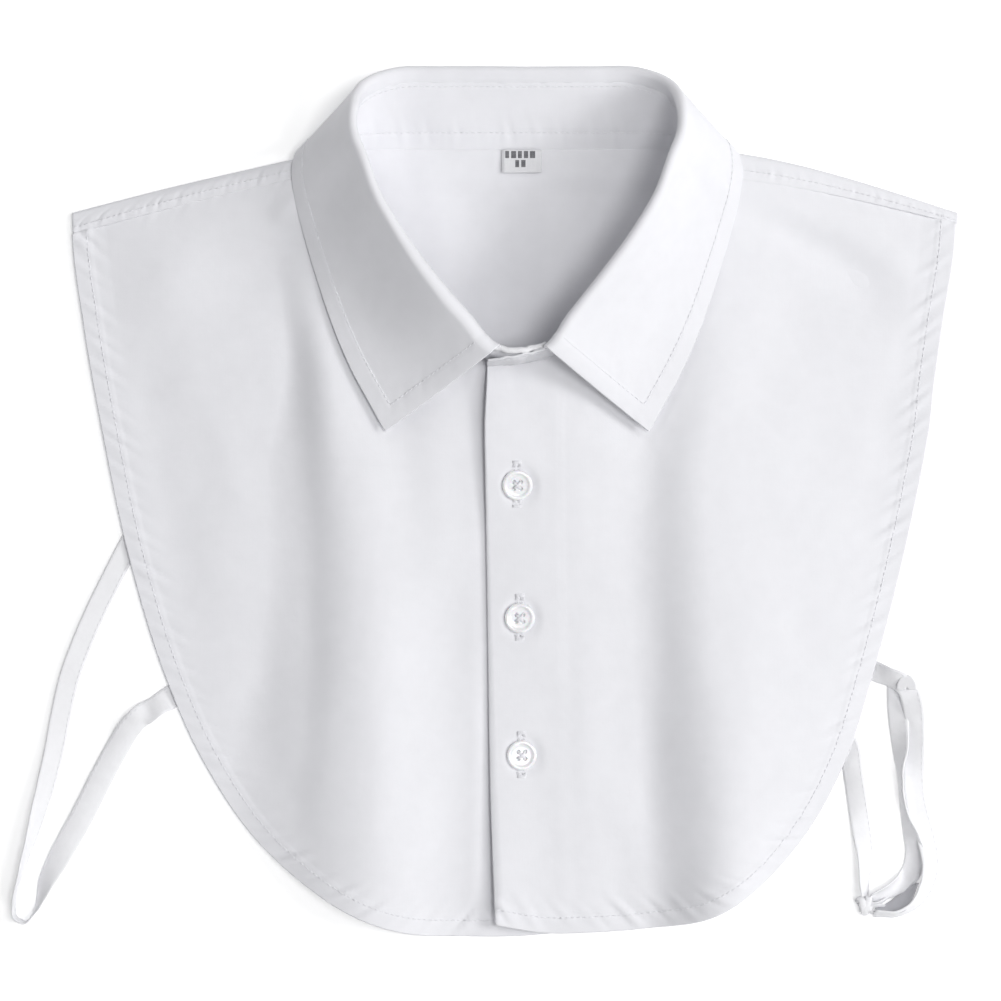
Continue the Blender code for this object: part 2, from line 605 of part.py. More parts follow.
def button(number, x, y, front, material):
    """A four-hole shirt button with a raised rim, turned about its axis and drilled."""
    seat, direction = seat_on(front, x, y, BUTTON_RADIUS)
    profile = ((0.0, 0.0), (BUTTON_RADIUS - 1.2, 0.0), (BUTTON_RADIUS, 0.8), (BUTTON_RADIUS, 1.5),
               (BUTTON_RADIUS - 0.6, BUTTON_THICK), (BUTTON_RADIUS - 1.3, BUTTON_THICK),
               (BUTTON_RADIUS - 2.1, BUTTON_THICK - 0.6), (0.0, BUTTON_THICK - 0.6))
    name = f"button_{number}"
    bm = bmesh.new()
    verts = [bm.verts.new((r * MM, 0, z * MM)) for r, z in profile]
    edges = [bm.edges.new(pair) for pair in zip(verts, verts[1:])]
    bmesh.ops.spin(bm, geom=verts + edges, cent=(0, 0, 0), axis=(0, 0, 1), angle=2 * math.pi,
                   steps=BUTTON_SIDES, use_duplicate=False)
    bmesh.ops.remove_doubles(bm, verts=bm.verts, dist=0.00002)
    bmesh.ops.recalc_face_normals(bm, faces=bm.faces)
    mesh = bpy.data.meshes.new(name)
    bm.to_mesh(mesh)
    bm.free()
    item = add_object(name, mesh, material)

    drill_mesh = bpy.data.meshes.new(f"{name}_drill")
    bm = bmesh.new()
    for step in range(4):
        angle = math.pi / 4 + step * math.pi / 2
        place = Vector((math.cos(angle), math.sin(angle), 0.0)) * HOLE_OFFSET * MM
        bmesh.ops.create_cone(bm, cap_ends=True, segments=6, radius1=HOLE_RADIUS * MM,
                              radius2=HOLE_RADIUS * MM, depth=4 * BUTTON_THICK * MM,
                              matrix=Matrix.Translation(place))
    bm.to_mesh(drill_mesh)
    bm.free()
    drill = bpy.data.objects.new(f"{name}_drill", drill_mesh)
    drill.hide_render = True
    drill.display_type = "WIRE"
    bpy.context.scene.collection.objects.link(drill)
    drill.parent = item
    cut = item.modifiers.new("holes", "BOOLEAN")
    cut.operation = "DIFFERENCE"
    cut.solver = "EXACT"
    cut.object = drill
    turn = Vector((0, 0, 1)).rotation_difference(Vector(direction))
    item.rotation_mode = "QUATERNION"
    item.rotation_quaternion = turn
    item.location = Vector(seat + direction * SEAM) * MM
    return item


def label(material):
    """The size label: a small tab that hangs from the back neck seam over the back's inner face."""
    top_y = NECK_Y + HALF_COLLAR[0][1] - 0.9
    xs = np.linspace(LABEL_X - LABEL_WIDTH / 2, LABEL_X + LABEL_WIDTH / 2, 7)
    ys = np.linspace(top_y, top_y - LABEL_HEIGHT, 5)
    panel_top = HALF_COLLAR[0][2] + CLOTH / 2
    points = np.zeros((5, 7, 3))
    points[:, :, 0] = xs[None, :]
    points[:, :, 1] = ys[:, None]
    curl = 0.5 * np.linspace(0, 1, 5)**2
    points[:, :, 2] = panel_top + SEAM + LABEL_THICK / 2 + curl[:, None]
    return wall("size_label", points, LABEL_THICK, material, flip=False)


def tape(name, rows, material, spacing=7.0):
    """A flat tape along its middle line. Its width turns about the line by each row's angle."""
    rows = np.array(rows, float)
    turned = np.abs(np.sin(np.radians(rows[:, 3])))
    rows[:, 2] += TAPE_WIDTH / 2 * turned + TAPE / 2 * np.sqrt(1 - turned**2)
    length = np.sum(np.linalg.norm(np.diff(rows[:, :3], axis=0), axis=1))
    count = max(6, int(length / spacing) + 1)
    line = curve(rows, np.linspace(0, 1, count))
    path = line[:, :3]
    turn = np.radians(line[:, 3])[:, None]
    along = unit(np.gradient(path, axis=0))
    flat = unit(np.cross(np.array([0.0, 0.0, 1.0]), along))
    up = np.cross(along, flat)
    across = flat * np.cos(turn) + up * np.sin(turn)
    points = np.array([path - across * TAPE_WIDTH / 2, path, path + across * TAPE_WIDTH / 2])
    return wall(name, points, TAPE, material)


def knot(material):
    """The overhand knot that joins the tapes: a squashed ball with a waist."""
    bm = bmesh.new()
    bmesh.ops.create_uvsphere(bm, u_segments=14, v_segments=8, radius=1.0)
    for vert in bm.verts:
        waist = 1 - 0.22 * math.exp(-(vert.co.x / 0.35)**2) * abs(vert.co.y)
        vert.co = Vector((vert.co.x * KNOT_SIZE[0], vert.co.y * KNOT_SIZE[1] * waist,
                          vert.co.z * KNOT_SIZE[2])) * MM
    bmesh.ops.transform(bm, matrix=Matrix.Translation(Vector(KNOT) * MM), verts=bm.verts)
    mesh = bpy.data.meshes.new("tape_knot")
    bm.to_mesh(mesh)
    bm.free()
    return add_object("tape_knot", mesh, material, smooth_angle=80.0)


def build():
    """Make every piece of the collar."""
    for item in list(bpy.data.objects):
        bpy.data.objects.remove(item, do_unlink=True)
    cotton = paint("white_cotton", CLOTH_COLOUR, 0.85)
    band = paint("white_tape", TAPE_COLOUR, 0.8)
    shell = paint("button_resin", BUTTON_COLOUR, 0.3)
    woven = paint("label_tape", LABEL_COLOUR, 0.8)

    back = back_surface()
    wall("back_panel", back, CLOTH, cotton)
    under, under_hem = front_surface(-1)
    wall("front_under", under, CLOTH, cotton, raised=under_hem, flip=True)
    over, over_hem = front_surface(1)
    front = wall("front_over", over, CLOTH, cotton, raised=over_hem)
    wall("collar_stand", stand_surface(), CLOTH, cotton)
    wall("collar_leaf", leaf_surface(), LEAF, cotton)
    for number, (x, y) in enumerate(BUTTONS, start=1):
        button(number, x, y, front, shell)
    label(woven)
    tape("tape_left", LEFT_TAPE, band)
    tape("tape_right_front", RIGHT_FRONT_TAPE, band)
    tape("tape_right_inner", RIGHT_INNER_TAPE, band)
    tape("tape_right_back", RIGHT_BACK_TAPE, band)
    knot(band)


build()
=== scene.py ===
"""Looks of the detachable shirt collar: cotton panels, collar, stitches, buttons, tapes, light and camera.

The collar lies on its back on a white table, seen from straight above. Sizes are in millimetres while a
shape is worked out and become metres in the mesh. Every cloth piece is a middle surface on a grid, moved
out along its normals by puckers and creases, and then given its thickness.
"""

import math

import bpy
import numpy as np
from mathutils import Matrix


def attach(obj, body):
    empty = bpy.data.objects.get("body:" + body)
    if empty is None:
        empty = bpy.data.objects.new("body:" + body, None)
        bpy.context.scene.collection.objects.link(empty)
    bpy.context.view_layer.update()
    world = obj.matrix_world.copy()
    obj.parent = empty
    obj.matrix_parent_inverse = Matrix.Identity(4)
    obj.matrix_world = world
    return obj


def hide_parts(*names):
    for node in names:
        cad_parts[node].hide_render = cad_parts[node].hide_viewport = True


MM = 0.001

# Cloth
SHOWN = 1.0            # thickness of panels and stand
LEAF_SHOWN = 0.9       # thickness of the leaf
TAPE = 0.9             # thickness of the tapes
TAPE_WIDTH = 8.4
HEM_WIDTH = 7.5
HEM_STITCH = 6.3       # the hem's stitch line lies this far inside the edge
COLLAR_STITCH = 7.4    # and the leaf's this far inside its edges
FOOT_STITCH = 7.4      # and the stand's this far above its foot
PLACKET = 32.0         # width of the upper front's button band

# Neck ring
SEAM = 0.3             # the stand's foot reaches this far past the neck seam
LEAF_GAP = 0.1         # gap between the stand's top and the leaf
NECK_X = 0.8
NECK_Y = 105.6
ROLL = 1.9             # radius of the leaf's fold
FRONT_ROLL = 1.5       # and how much wider it is at the left leaf's front
FOLD_BIAS = 12.0       # how strongly the fold turns outwards rather than towards the edge
FOLD_LIMIT = math.radians(165)
BACK_REST = 0.6        # height of the back's middle surface on the table
FRONT_REST = 2.4       # and of a front's, on the back

# Half of the collar, from the middle of the back to the front: where the neck seam, the fold and the leaf's
# edge lie, how far the leaf's seam is below the fold, and how deep the leaf bellies in under its straight
# line. The places count from the ring's middle.
#    seam x, y, z          fold x, y, z           edge x, y, z           rise  belly
HALF_COLLAR = (
    (0.0, 42.2, 2.1,       0.0, 72.7, 13.4,       0.0, 33.1, 0.5,        4.3, 4.5),
    (29.4, 42.2, 2.1,      29.1, 72.7, 13.7,      32.7, 33.1, 0.5,       4.3, 4.5),
    (52.6, 42.2, 2.3,      50.2, 71.7, 15.0,      62.0, 33.6, 0.5,       4.3, 4.5),
    (64.2, 42.0, 3.6,      58.8, 68.2, 18.0,      81.8, 34.6, 0.5,       4.5, 2.0),
    (69.0, 41.7, 5.2,      62.0, 65.6, 20.6,      87.4, 40.4, 1.9,       4.8, 0.6),
    (73.0, 41.3, 6.6,      63.9, 62.7, 23.7,      90.4, 41.2, 5.0,       5.2, -0.4),
    (76.8, 40.7, 8.0,      65.2, 59.7, 27.3,      92.2, 39.6, 7.9,       5.6, -0.4),
    (79.6, 39.4, 9.2,      65.8, 56.7, 31.0,      93.4, 34.6, 9.7,      5.8, 0.6),
    (79.6, 33.4, 10.2,     65.8, 45.9, 37.0,      92.2, 20.1, 9.5,      5.6, 1.8),
    (76.3, 28.3, 11.0,     62.4, 37.0, 39.6,      89.6, 9.2, 8.7,        5.2, 4.0),
)
# From there to the end that laps over
FRONT_OUTER = (
    (69.1, 14.0, 12.0,     56.6, 21.2, 41.4,      84.5, -8.4, 8.9,       4.6, 5.6),
    (58.6, -2.3, 13.0,     47.4, 5.4, 41.4,       77.8, -28.9, 10.2,     3.8, 6.8),
    (40.3, -24.0, 14.2,    31.7, -15.6, 39.4,     68.5, -51.1, 11.6,     3.0, 6.6),
    (24.9, -38.8, 15.4,    20.4, -29.8, 37.8,     61.3, -64.4, 12.2,     2.4, 5.2),
    (11.4, -46.0, 16.2,    11.2, -42.1, 36.6,     54.8, -76.2, 12.4,     2.0, 4.2),
    (0.0, -48.4, 16.4,     1.0, -45.0, 36.0,      54.8, -76.2, 12.4,     2.0, 4.2),
    (-12.4, -49.0, 16.4,   -12.0, -47.0, 33.4,    54.8, -76.2, 12.4,     2.0, 4.2),
)
# and to the end that laps under
FRONT_INNER = (
    (69.1, 14.0, 12.0,     56.6, 21.2, 41.2,      84.5, -8.4, 9.5,       4.6, 5.4),
    (58.6, -2.3, 13.0,     47.4, 5.4, 40.8,       77.8, -28.9, 11.4,     3.8, 6.4),
    (40.3, -24.0, 14.2,    31.7, -15.6, 38.4,     68.5, -51.1, 13.2,     3.0, 5.8),
    (24.7, -38.2, 14.6,    19.6, -29.4, 36.2,     61.3, -64.4, 13.8,     2.4, 4.6),
    (9.6, -45.4, 14.8,     7.4, -41.8, 34.8,      54.8, -76.2, 14.0,     2.0, 3.8),
    (0.0, -46.6, 14.8,     -1.0, -42.7, 35.6,     54.8, -76.2, 14.0,     2.0, 3.8),
    (-12.4, -45.4, 14.8,   -11.8, -40.2, 33.8,    54.8, -76.2, 14.0,     2.0, 3.8),
)
LEAF_ENDS = 2          # the leaf stops this many rows before the stand does
SEAM_SHARE = 0.0003    # gaps at the shoulder seam and at centre front, as shares of the ring
CENTRE_SHARE = 0.0004
# Rows of the half collar at which the shoulder seams and the back's upper corners lie, and the start of
# the shoulder's line, from the ring's middle
SHOULDER_ROW = {-1: 8.3, 1: 9.0}
CORNER_ROW = 3.3
SHOULDER_ROOT = (79.4, 41.0)

# Outline of the bib
#    y        left x   right x
SIDES = (
    (121.2, -185.4, 185.4),
    (109.0, -185.2, 184.9),
    (76.0, -181.0, 180.0),
    (26.0, -172.2, 172.6),
    (-24.6, -161.3, 162.1),
    (-75.0, -145.7, 148.7),
    (-108.6, -130.6, 137.8),
    (-142.2, -107.5, 118.9),
    (-159.0, -88.6, 103.3),
    (-173.0, -65.8, 82.0),
)
UNDER_HEM = ((-45.8, -179.8), (-18.0, -181.9), (3.0, -181.7), (17.5, -180.5))
OVER_HEM = ((52.0, -178.9), (31.5, -180.2), (12.2, -180.3), (-8.0, -176.7))
OVER_EDGE = ((-12.9, 55.6), (-12.1, 9.0), (-11.0, -62.0), (-10.0, -121.0), (-8.0, -176.7))
# The lap: its middle, how far it reaches at full height and to nothing, and how much it lifts each front
LAP_MIDDLE = 3.0
LAP_NEAR = 24.0
LAP_FAR = 44.0
OVER_LIFT = 1.25
UNDER_LIFT = 0.0
# How much more the placket's edge curls up, at places down the bib, and how far in that reaches
CURL_Y = (60.0, 20.0, -14.0, -60.0, -120.0, -180.0)
CURL = (0.9, 1.8, 0.0, 0.1, 1.8, 4.2)
CURL_REACH = 26.0
SHOULDER_STRIP = {-1: 8.5, 1: 4.4}
STRIP_SLANT = 0.21     # how far the strip's end leans out, for each millimetre down it
TIP_RADIUS = 1.0       # radius of the fold at the shoulder's tip
BACK_INSET = 4.5       # the back's sides lie this far inside the fronts'
BACK_SHORT = 8.0       # and its hem this far above theirs
# How far each shoulder swells out, left and right, how the swell leans to the neck, and how deep it reaches
SHOULDER_BOW = (1.0, 3.6)
BOW_POWER = (1.0, 0.7)
BOW_DEPTH = (12.0, 60.0)

# Long soft folds of the fronts, each at seven places down the bib: x of the crest, its height, and how far
# the fold reaches towards -X and towards +X
FOLD_Y = (115.0, 60.0, 20.0, -20.0, -62.0, -110.0, -175.0)
FOLDS = (
    ((-88.0, -77.0, -71.0, -66.0, -62.0, -60.0, -62.0),
     (0.0, 6.2, 7.8, 8.4, 10.4, 13.0, 12.2),
     (15.0, 19.0, 32.0, 38.0, 46.0, 62.0, 54.0),
     (52.0, 52.0, 50.0, 46.0, 42.0, 42.0, 42.0)),
    ((92.0, 86.0, 81.0, 81.0, 84.0, 88.0, 88.0),
     (0.0, 3.5, 6.2, 8.2, 9.2, 11.6, 12.2),
     (20.0, 24.0, 31.0, 34.0, 36.0, 36.0, 33.0),
     (60.0, 60.0, 60.0, 60.0, 54.0, 44.0, 26.0)),
    ((104.0, 112.0, 122.0, 128.0, 128.0, 122.0, 104.0),
     (0.0, 0.0, 1.2, 2.6, 4.4, 4.4, 0.0),
     (46.0, 46.0, 46.0, 46.0, 46.0, 40.0, 30.0),
     (40.0, 40.0, 44.0, 40.0, 36.0, 26.0, 20.0)),
)

# Length of the centre front edge, points along it and round a front's outline, and how the columns gather
# towards the centre
EDGE_LENGTH = 230.0
EDGE_SAMPLES = 60
RIM_SAMPLES = 400
RIM_SPREAD = 0.85
FRONT_ROWS = 96        # rows of a front from the neck to the start of its hem
HEM_START = 14.2       # and how far inside the edge they end

# Rows and columns of the grids that other things are laid on
FOLD_ROW = 20          # a row of the leaf close to the end of the fold's arc
STRIP_COLUMNS = 16     # columns of a shoulder strip
RIGHT_STITCH = 5       # the column of its stitches, on the right
LEFT_STITCH = -6       # and on the left
TAPE_ACROSS = 11       # points across a tape
TAPE_STITCH = 9        # and the one on which its stitches lie
TAPE_STEP = 1.2        # from one row of them to the next

# Buttons: middle x, y
BUTTONS = ((0.8, 6.9), (1.9, -48.7), (2.7, -106.2))
BUTTON_RADIUS = 6.3
BUTTON_SINK = 0.3      # how far it presses into the cloth
BUTTON_AROUND = 96     # points round it
BUTTON_MIDDLE = 30     # rings of its dished middle, where its holes are
HOLE_AWAY = 2.05       # its holes lie this far from its middle
BUTTONHOLE = 17.5      # length of a buttonhole
STITCH_STEP = 0.42     # from one of its stitches to the next

# Side tapes: the way of each one's middle line, how far its lower edge is above the table, and how many
# degrees it is turned about that line
#    x       y       rise  turn
LEFT_TAPE = (
    (-158.8, -12.0, 0.3, 0), (-162.2, -18.4, 0.3, -3), (-166.8, -27.4, 0.3, -6), (-171.4, -36.6, 0.3, -8),
    (-176.4, -47.0, 0.3, -10), (-181.8, -59.6, 0.3, -12), (-187.0, -74.0, 0.3, -12),
    (-190.6, -90.0, 0.3, -16), (-193.6, -106.0, 0.3, -24), (-198.0, -124.0, 0.3, -38),
    (-203.0, -142.0, 0.3, -66), (-207.6, -158.0, 0.3, -84), (-209.8, -168.0, 0.3, -90),
    (-209.2, -174.5, 0.3, -90), (-205.0, -176.4, 0.3, -90), (-201.0, -171.4, 0.3, -80),
    (-196.2, -159.0, 0.3, -40), (-189.4, -145.6, 0.3, -8), (-181.8, -132.0, 0.3, 5),
    (-173.6, -115.6, 0.3, 3), (-166.2, -102.0, 0.4, 4),
    (-160.8, -93.8, 1.3, 14), (-157.0, -90.2, 2.0, 18), (-153.6, -87.8, 1.9, -14), (-149.8, -85.4, 0.9, -28),
    (-146.2, -83.2, 0.2, -8), (-143.6, -81.6, 0.1, 0), (-141.2, -80.2, 0.0, 0),
)
RIGHT_FRONT_TAPE = (
    (147.2, -69.6, 0.3, 0), (151.6, -71.4, 1.0, 14), (156.4, -73.4, 3.0, 26), (160.6, -75.2, 4.8, 18),
    (164.0, -78.0, 5.4, 8), (166.0, -83.6, 4.4, 14), (167.3, -91.0, 3.0, 16), (167.5, -99.0, 2.4, 20),
    (167.3, -108.0, 2.3, 18), (167.4, -118.0, 2.1, 0), (168.8, -129.0, 2.0, -4),
    (172.2, -141.0, 1.8, -20), (174.0, -152.0, 1.4, -30), (172.2, -161.4, 0.8, -42),
    (167.6, -168.4, 0.4, -56), (160.0, -172.6, 0.3, -68), (150.6, -172.4, 0.3, -66),
)
RIGHT_INNER_TAPE = (
    (160.6, -76.2, 0.3, 0), (160.4, -84.0, 0.3, 14), (160.8, -93.0, 0.3, 26), (161.4, -103.0, 0.3, 44),
    (161.2, -112.0, 0.3, 78), (161.8, -122.0, 0.3, 84), (163.2, -131.0, 0.3, 76), (166.0, -140.0, 0.3, 48),
    (167.8, -148.0, 0.3, 24), (166.0, -156.0, 0.5, 2), (160.0, -161.4, 0.8, -34), (154.2, -164.4, 1.0, -48),
    (149.6, -166.2, 0.8, -58),
)
RIGHT_BACK_TAPE = (
    (138.6, -99.0, 0.3, 0), (140.6, -104.6, 0.3, 8), (141.6, -112.0, 0.3, 14), (143.4, -124.0, 0.3, 12),
    (145.4, -137.0, 0.3, -10), (146.8, -150.0, 0.3, -36), (146.4, -158.0, 0.3, -54),
    (146.4, -165.0, 0.3, -68),
)
# How each tape bows across its width, in millimetres, and the shares of its length where that starts and
# ends
TAPE_BOWS = {
    "left_tape": (0.7, 0.6, 0.93),
    "right_front_tape": (0.35, 0.2, 0.9),
    "right_inner_tape": (-1.3, 0.62, 1.0),
    "right_back_tape": (0.4, 0.1, 0.6),
}
# The lower run of the left tape lies flatter and shows wider by this share
LEFT_WIDER = 0.15
# Painted shade: darker cloth for the loop's inside beside the knot, between an outer and an inner edge
#    outer x, y, z           inner x, y, z
LOOP_INSIDE = (
    (168.8, -159.6, 5.4,     167.8, -159.8, 4.4),
    (166.9, -164.1, 6.2,     164.2, -162.8, 1.2),
    (165.1, -168.2, 6.8,     160.6, -165.2, 0.8),
    (162.7, -171.0, 6.8,     158.0, -167.4, 0.8),
    (159.0, -172.2, 6.4,     154.6, -169.6, 0.8),
    (151.4, -171.4, 4.2,     151.0, -170.4, 2.6),
)
KNOT = (146.4, -169.0, 3.4)
# The bands wound round it
#    size  spin   shift  tip
KNOT_TURNS = (
    (1.0, 0.45, -0.9, 0.3),
    (0.94, -0.2, 0.7, -0.35),
    (0.8, 0.95, 0.2, 0.1),
)
# and the narrow ends that fan out of it, from its middle
#    start x, y, z       end x, y, z        width  sag
KNOT_ENDS = (
    ((1.2, 1.6, 0.4), (6.2, 5.4, -0.6), 2.2, 0.5),
    ((1.4, 0.4, 0.2), (9.4, 2.4, -1.6), 2.4, -0.8),
    ((1.4, -0.8, -0.2), (8.6, -0.6, -2.0), 1.8, 0.4),
    ((0.6, -2.2, -0.6), (7.8, -3.6, -1.6), 2.6, -0.3),
)
# The tuck at the top of the right loop
TUCK = (163.5, -78.5, 8.6)

# Puckers: how high the cloth rises between stitches, the usual distance between two, how far they reach and
# how much they lean
#    name            height  length  reach  lean
PUCKERS = {
    "hem":           (0.78, 8.7, 6.0, 0.9),
    "shoulder":      (0.24, 7.0, 3.4, 0.6),
    "shoulder_fine": (0.20, 2.9, 1.7, 0.5),
    "leaf":          (0.12, 9.0, 5.0, 0.6),
    "stand_foot":    (0.26, 7.0, 6.0, 0.3),
    "stand_top":     (0.14, 9.0, 4.0, 0.4),
    "neck":          (0.30, 16.0, 12.0, 0.0),
}

# Creases listed for the fronts: soft troughs (-) and ridges (+).
#    start x, y        end x, y          height  half width
OVER_CREASES = (
    (48.0, 60.0,       52.0, -160.0,     -0.5,   9.0),
    (116.0, 150.0,     170.0, 106.0,     3.8,    13.0),
    (104.0, 124.0,     158.0, 80.0,      -3.4,   13.0),
    (150.0, 95.0,      120.0, -40.0,     0.8,    16.0),
    (125.0, 105.0,     96.0, 30.0,       -0.7,   14.0),
    (118.0, -20.0,     92.0, -150.0,     -0.8,   12.0),
    (30.0, 30.0,       26.0, -60.0,      -0.25,  6.0),
    (8.0, 38.0,        44.0, 12.0,       0.3,    7.0),
    (14.0, -20.0,      38.0, -44.0,      -0.3,   7.0),
    (12.0, -70.0,      36.0, -92.0,      0.25,   8.0),
    (40.0, -120.0,     58.0, -168.0,     0.5,    9.0),
    (160.0, 60.0,      146.0, -10.0,     -0.5,   9.0),
)
UNDER_CREASES = (
    (-96.0, 80.0,      -92.0, -150.0,    -0.8,   8.0),
    (-152.0, 120.0,    -146.0, 70.0,     0.9,    15.0),
    (-94.0, 143.0,     -98.0, 118.0,     1.6,    5.0),
    (-106.0, 136.0,    -112.0, 118.0,    -0.9,   7.0),
    (-140.0, 96.0,     -118.0, -60.0,    0.7,    16.0),
    (-160.0, 60.0,     -140.0, -40.0,    -0.5,   11.0),
    (-50.0, 30.0,      -44.0, -140.0,    -0.6,   12.0),
    (-38.0, 56.0,      -34.0, -40.0,     1.9,    13.0),
    (-24.0, -20.0,     -22.0, -100.0,    0.3,    7.0),
    (-22.0, -70.0,     -20.0, -190.0,    1.5,    16.0),
    (-36.0, -120.0,    -52.0, -170.0,    0.5,    8.0),
    (-112.0, -60.0,    -96.0, -140.0,    -0.5,   10.0),
)
# and on the back, where the neck opening shows it
BACK_CREASES = (
    (-38.0, 146.0,     -30.0, 62.0,      0.7,    9.0),
    (-14.0, 146.0,     -12.0, 60.0,      -0.2,   7.0),
    (12.0, 138.0,      10.0, 60.0,       0.8,    8.0),
    (34.0, 146.0,      26.0, 66.0,       0.5,    7.0),
    (56.0, 140.0,      44.0, 80.0,       0.7,    9.0),
)


def travelled(points):
    """Distance travelled along a polyline to each of its points."""
    steps = np.linalg.norm(np.diff(points, axis=0), axis=1)
    return np.concatenate(([0.0], np.cumsum(steps)))


def knots(rows, first=0):
    """Distance along the polyline of three columns, from 0 to 1."""
    along = travelled(rows[:, first:first + 3])
    return along / along[-1]


def curve(rows, at, first=0):
    """Points of a smooth curve through every row, at shares of its length: cubics whose end slopes come
    from the rows on both sides."""
    rows = np.asarray(rows, float)
    knot = knots(rows, first)
    slope = np.gradient(rows, knot, axis=0)
    at = np.clip(np.asarray(at, float), 0.0, 1.0)
    low = np.clip(np.searchsorted(knot, at, side="right") - 1, 0, len(knot) - 2)
    width = (knot[low + 1] - knot[low])[:, None]
    f = (at - knot[low])[:, None] / width
    ends = (2 * f**3 - 3 * f**2 + 1) * rows[low] + (3 * f**2 - 2 * f**3) * rows[low + 1]
    slopes = (f**3 - 2 * f**2 + f) * slope[low] + (f**3 - f**2) * slope[low + 1]
    return ends + slopes * width


def plane_curve(points, count):
    """A smooth curve in the plan through a few points, at even shares of its length."""
    flat = np.array([(x, y, 0.0) for x, y in points])
    return curve(flat, np.linspace(0, 1, count))[:, :2]


def ramp(value, start, end):
    """0 before start, 1 after end and a smooth step between them."""
    f = np.clip((value - start) / (end - start), 0.0, 1.0)
    return f * f * (3 - 2 * f)


def unit(vectors):
    """Vectors brought to length 1."""
    return vectors / np.maximum(np.linalg.norm(vectors, axis=-1, keepdims=True), 1e-12)


def resample(points, count):
    """The same polyline with evenly spaced points."""
    along = travelled(points)
    even = np.linspace(0, along[-1], count)
    return np.column_stack([np.interp(even, along, points[:, i]) for i in range(points.shape[1])])


def bell(distance, width):
    """1 at distance 0, falling off as a bell of that width."""
    return np.exp(-(distance / width)**2)


def uneven(s, length, seed):
    """An uneven wave from -1 to 1: three sines whose lengths have no common measure."""
    turn = 2 * np.pi * s / length
    waves = np.sin(turn + seed) + 0.7 * np.sin(1.618 * turn + 2.3 * seed)
    return (waves + 0.5 * np.sin(0.618 * turn + 4.1 * seed)) / 2.2


def pucker(kind, along, away, seed):
    """Height of a seam's puckers: an uneven wave along it, strong in places, that fades away from it."""
    height, length, reach, lean = PUCKERS[kind]
    strength = 0.75 + 0.5 * uneven(along, length * 5.3, seed + 1.7)
    return height * strength * uneven(along + lean * away, length, seed) * bell(away, reach)


def crease_height(x, y, table):
    """Height of the listed creases: each is a bell across a line, fading out at both ends."""
    height = np.zeros_like(x)
    for x1, y1, x2, y2, high, width in table:
        length = math.hypot(x2 - x1, y2 - y1)
        ux = (x2 - x1) / length
        uy = (y2 - y1) / length
        share = ((x - x1) * ux + (y - y1) * uy) / length
        across = (x - x1) * uy - (y - y1) * ux + 0.04 * length * np.sin(np.pi * share)
        fade = ramp(share, -0.15, 0.25) * (1 - ramp(share, 0.7, 1.15))
        height += high * bell(across, width) * fade
    return height


def whole_collar():
    """Rows of the whole ring, from the inner front end round the back to the outer one."""
    mirror = np.array([-1, 1, 1, -1, 1, 1, -1, 1, 1, 1, 1])
    half = np.array(HALF_COLLAR)
    inner = np.array(FRONT_INNER) * mirror
    ring_rows = np.vstack((inner[::-1], (half * mirror)[:0:-1], half, np.array(FRONT_OUTER)))
    ring_rows[:, (0, 3, 6)] += NECK_X
    ring_rows[:, (1, 4, 7)] += NECK_Y
    return ring_rows


COLLAR = whole_collar()
COLLAR_KNOTS = knots(COLLAR, first=3)
BACK_ROW = len(FRONT_INNER) + len(HALF_COLLAR) - 1


def ring_share(row, side):
    """Share of the ring's length at a row of the half collar, which may lie between two rows."""
    return float(np.interp(BACK_ROW + side * row, np.arange(len(COLLAR_KNOTS)), COLLAR_KNOTS))


def ring(at):
    """Section rows of the ring at the given shares of the fold's length."""
    return curve(COLLAR, at, first=3)


def surface_normals(points):
    """Unit normals of a grid of points, across its rows and columns."""
    return unit(np.cross(np.gradient(points, axis=0), np.gradient(points, axis=1)))


def length_along(points, axis):
    """Distance travelled over a grid along its rows (0) or columns (1), from its first line."""
    steps = np.linalg.norm(np.diff(points, axis=axis), axis=2)
    shape = list(points.shape[:2])
    shape[axis] = 1
    return np.concatenate((np.zeros(shape), np.cumsum(steps, axis=axis)), axis=axis)


def stand_middle(at, shares):
    """The stand: straight lines up from the neck seam to the seam with the leaf, at shares of the way."""
    section = ring(at)
    up = unit(section[:, 3:6] - section[:, :3])
    foot = section[:, :3] - up * SEAM
    top = section[:, 3:6] - up * (section[:, 9:10] - LEAF_GAP)
    return foot + (top - foot) * shares[:, None, None]


def leaf_middle(at, inner, turns, outer):
    """The leaf: up from the stand by inner shares, over the fold as an arc, and on by outer shares of the
    line to the collar's edge, with the belly as half a sine."""
    section = ring(at)
    fold = section[:, 3:6]
    edge = section[:, 6:9]
    rise = section[:, 9:10]
    belly = section[:, 10:11]
    up = unit(fold - section[:, :3])
    reach = edge - fold
    across = np.cross(up, unit(np.gradient(fold, axis=0)))
    aside = reach - np.sum(reach * up, axis=1, keepdims=True) * up
    over = unit(aside + FOLD_BIAS * across)
    low = np.sum(reach * up, axis=1)
    far = np.sum(reach * over, axis=1)
    roll = ROLL + FRONT_ROLL * (1 - ramp(at, 0.09, 0.24))
    heading = np.mod(np.arctan2(far - roll, low), 2 * math.pi)
    turn = np.minimum(heading + np.arcsin(roll / np.hypot(low, far - roll)), FOLD_LIMIT)[:, None]
    roll = roll[:, None]
    rows = [fold - up * (rise + LEAF_GAP) * (1 - share) for share in inner]
    for share in turns:
        angle = turn * share
        rows.append(fold + up * roll * np.sin(angle) + over * roll * (1 - np.cos(angle)))
    last = rows[-1]
    for share in outer:
        point = last + (edge - last) * share
        point[:, 2:3] -= belly * math.sin(math.pi * share)
        rows.append(point)
    grid = np.array(rows)
    grid[:, :, 2] = np.maximum(grid[:, :, 2], LEAF_SHOWN / 2)
    return grid


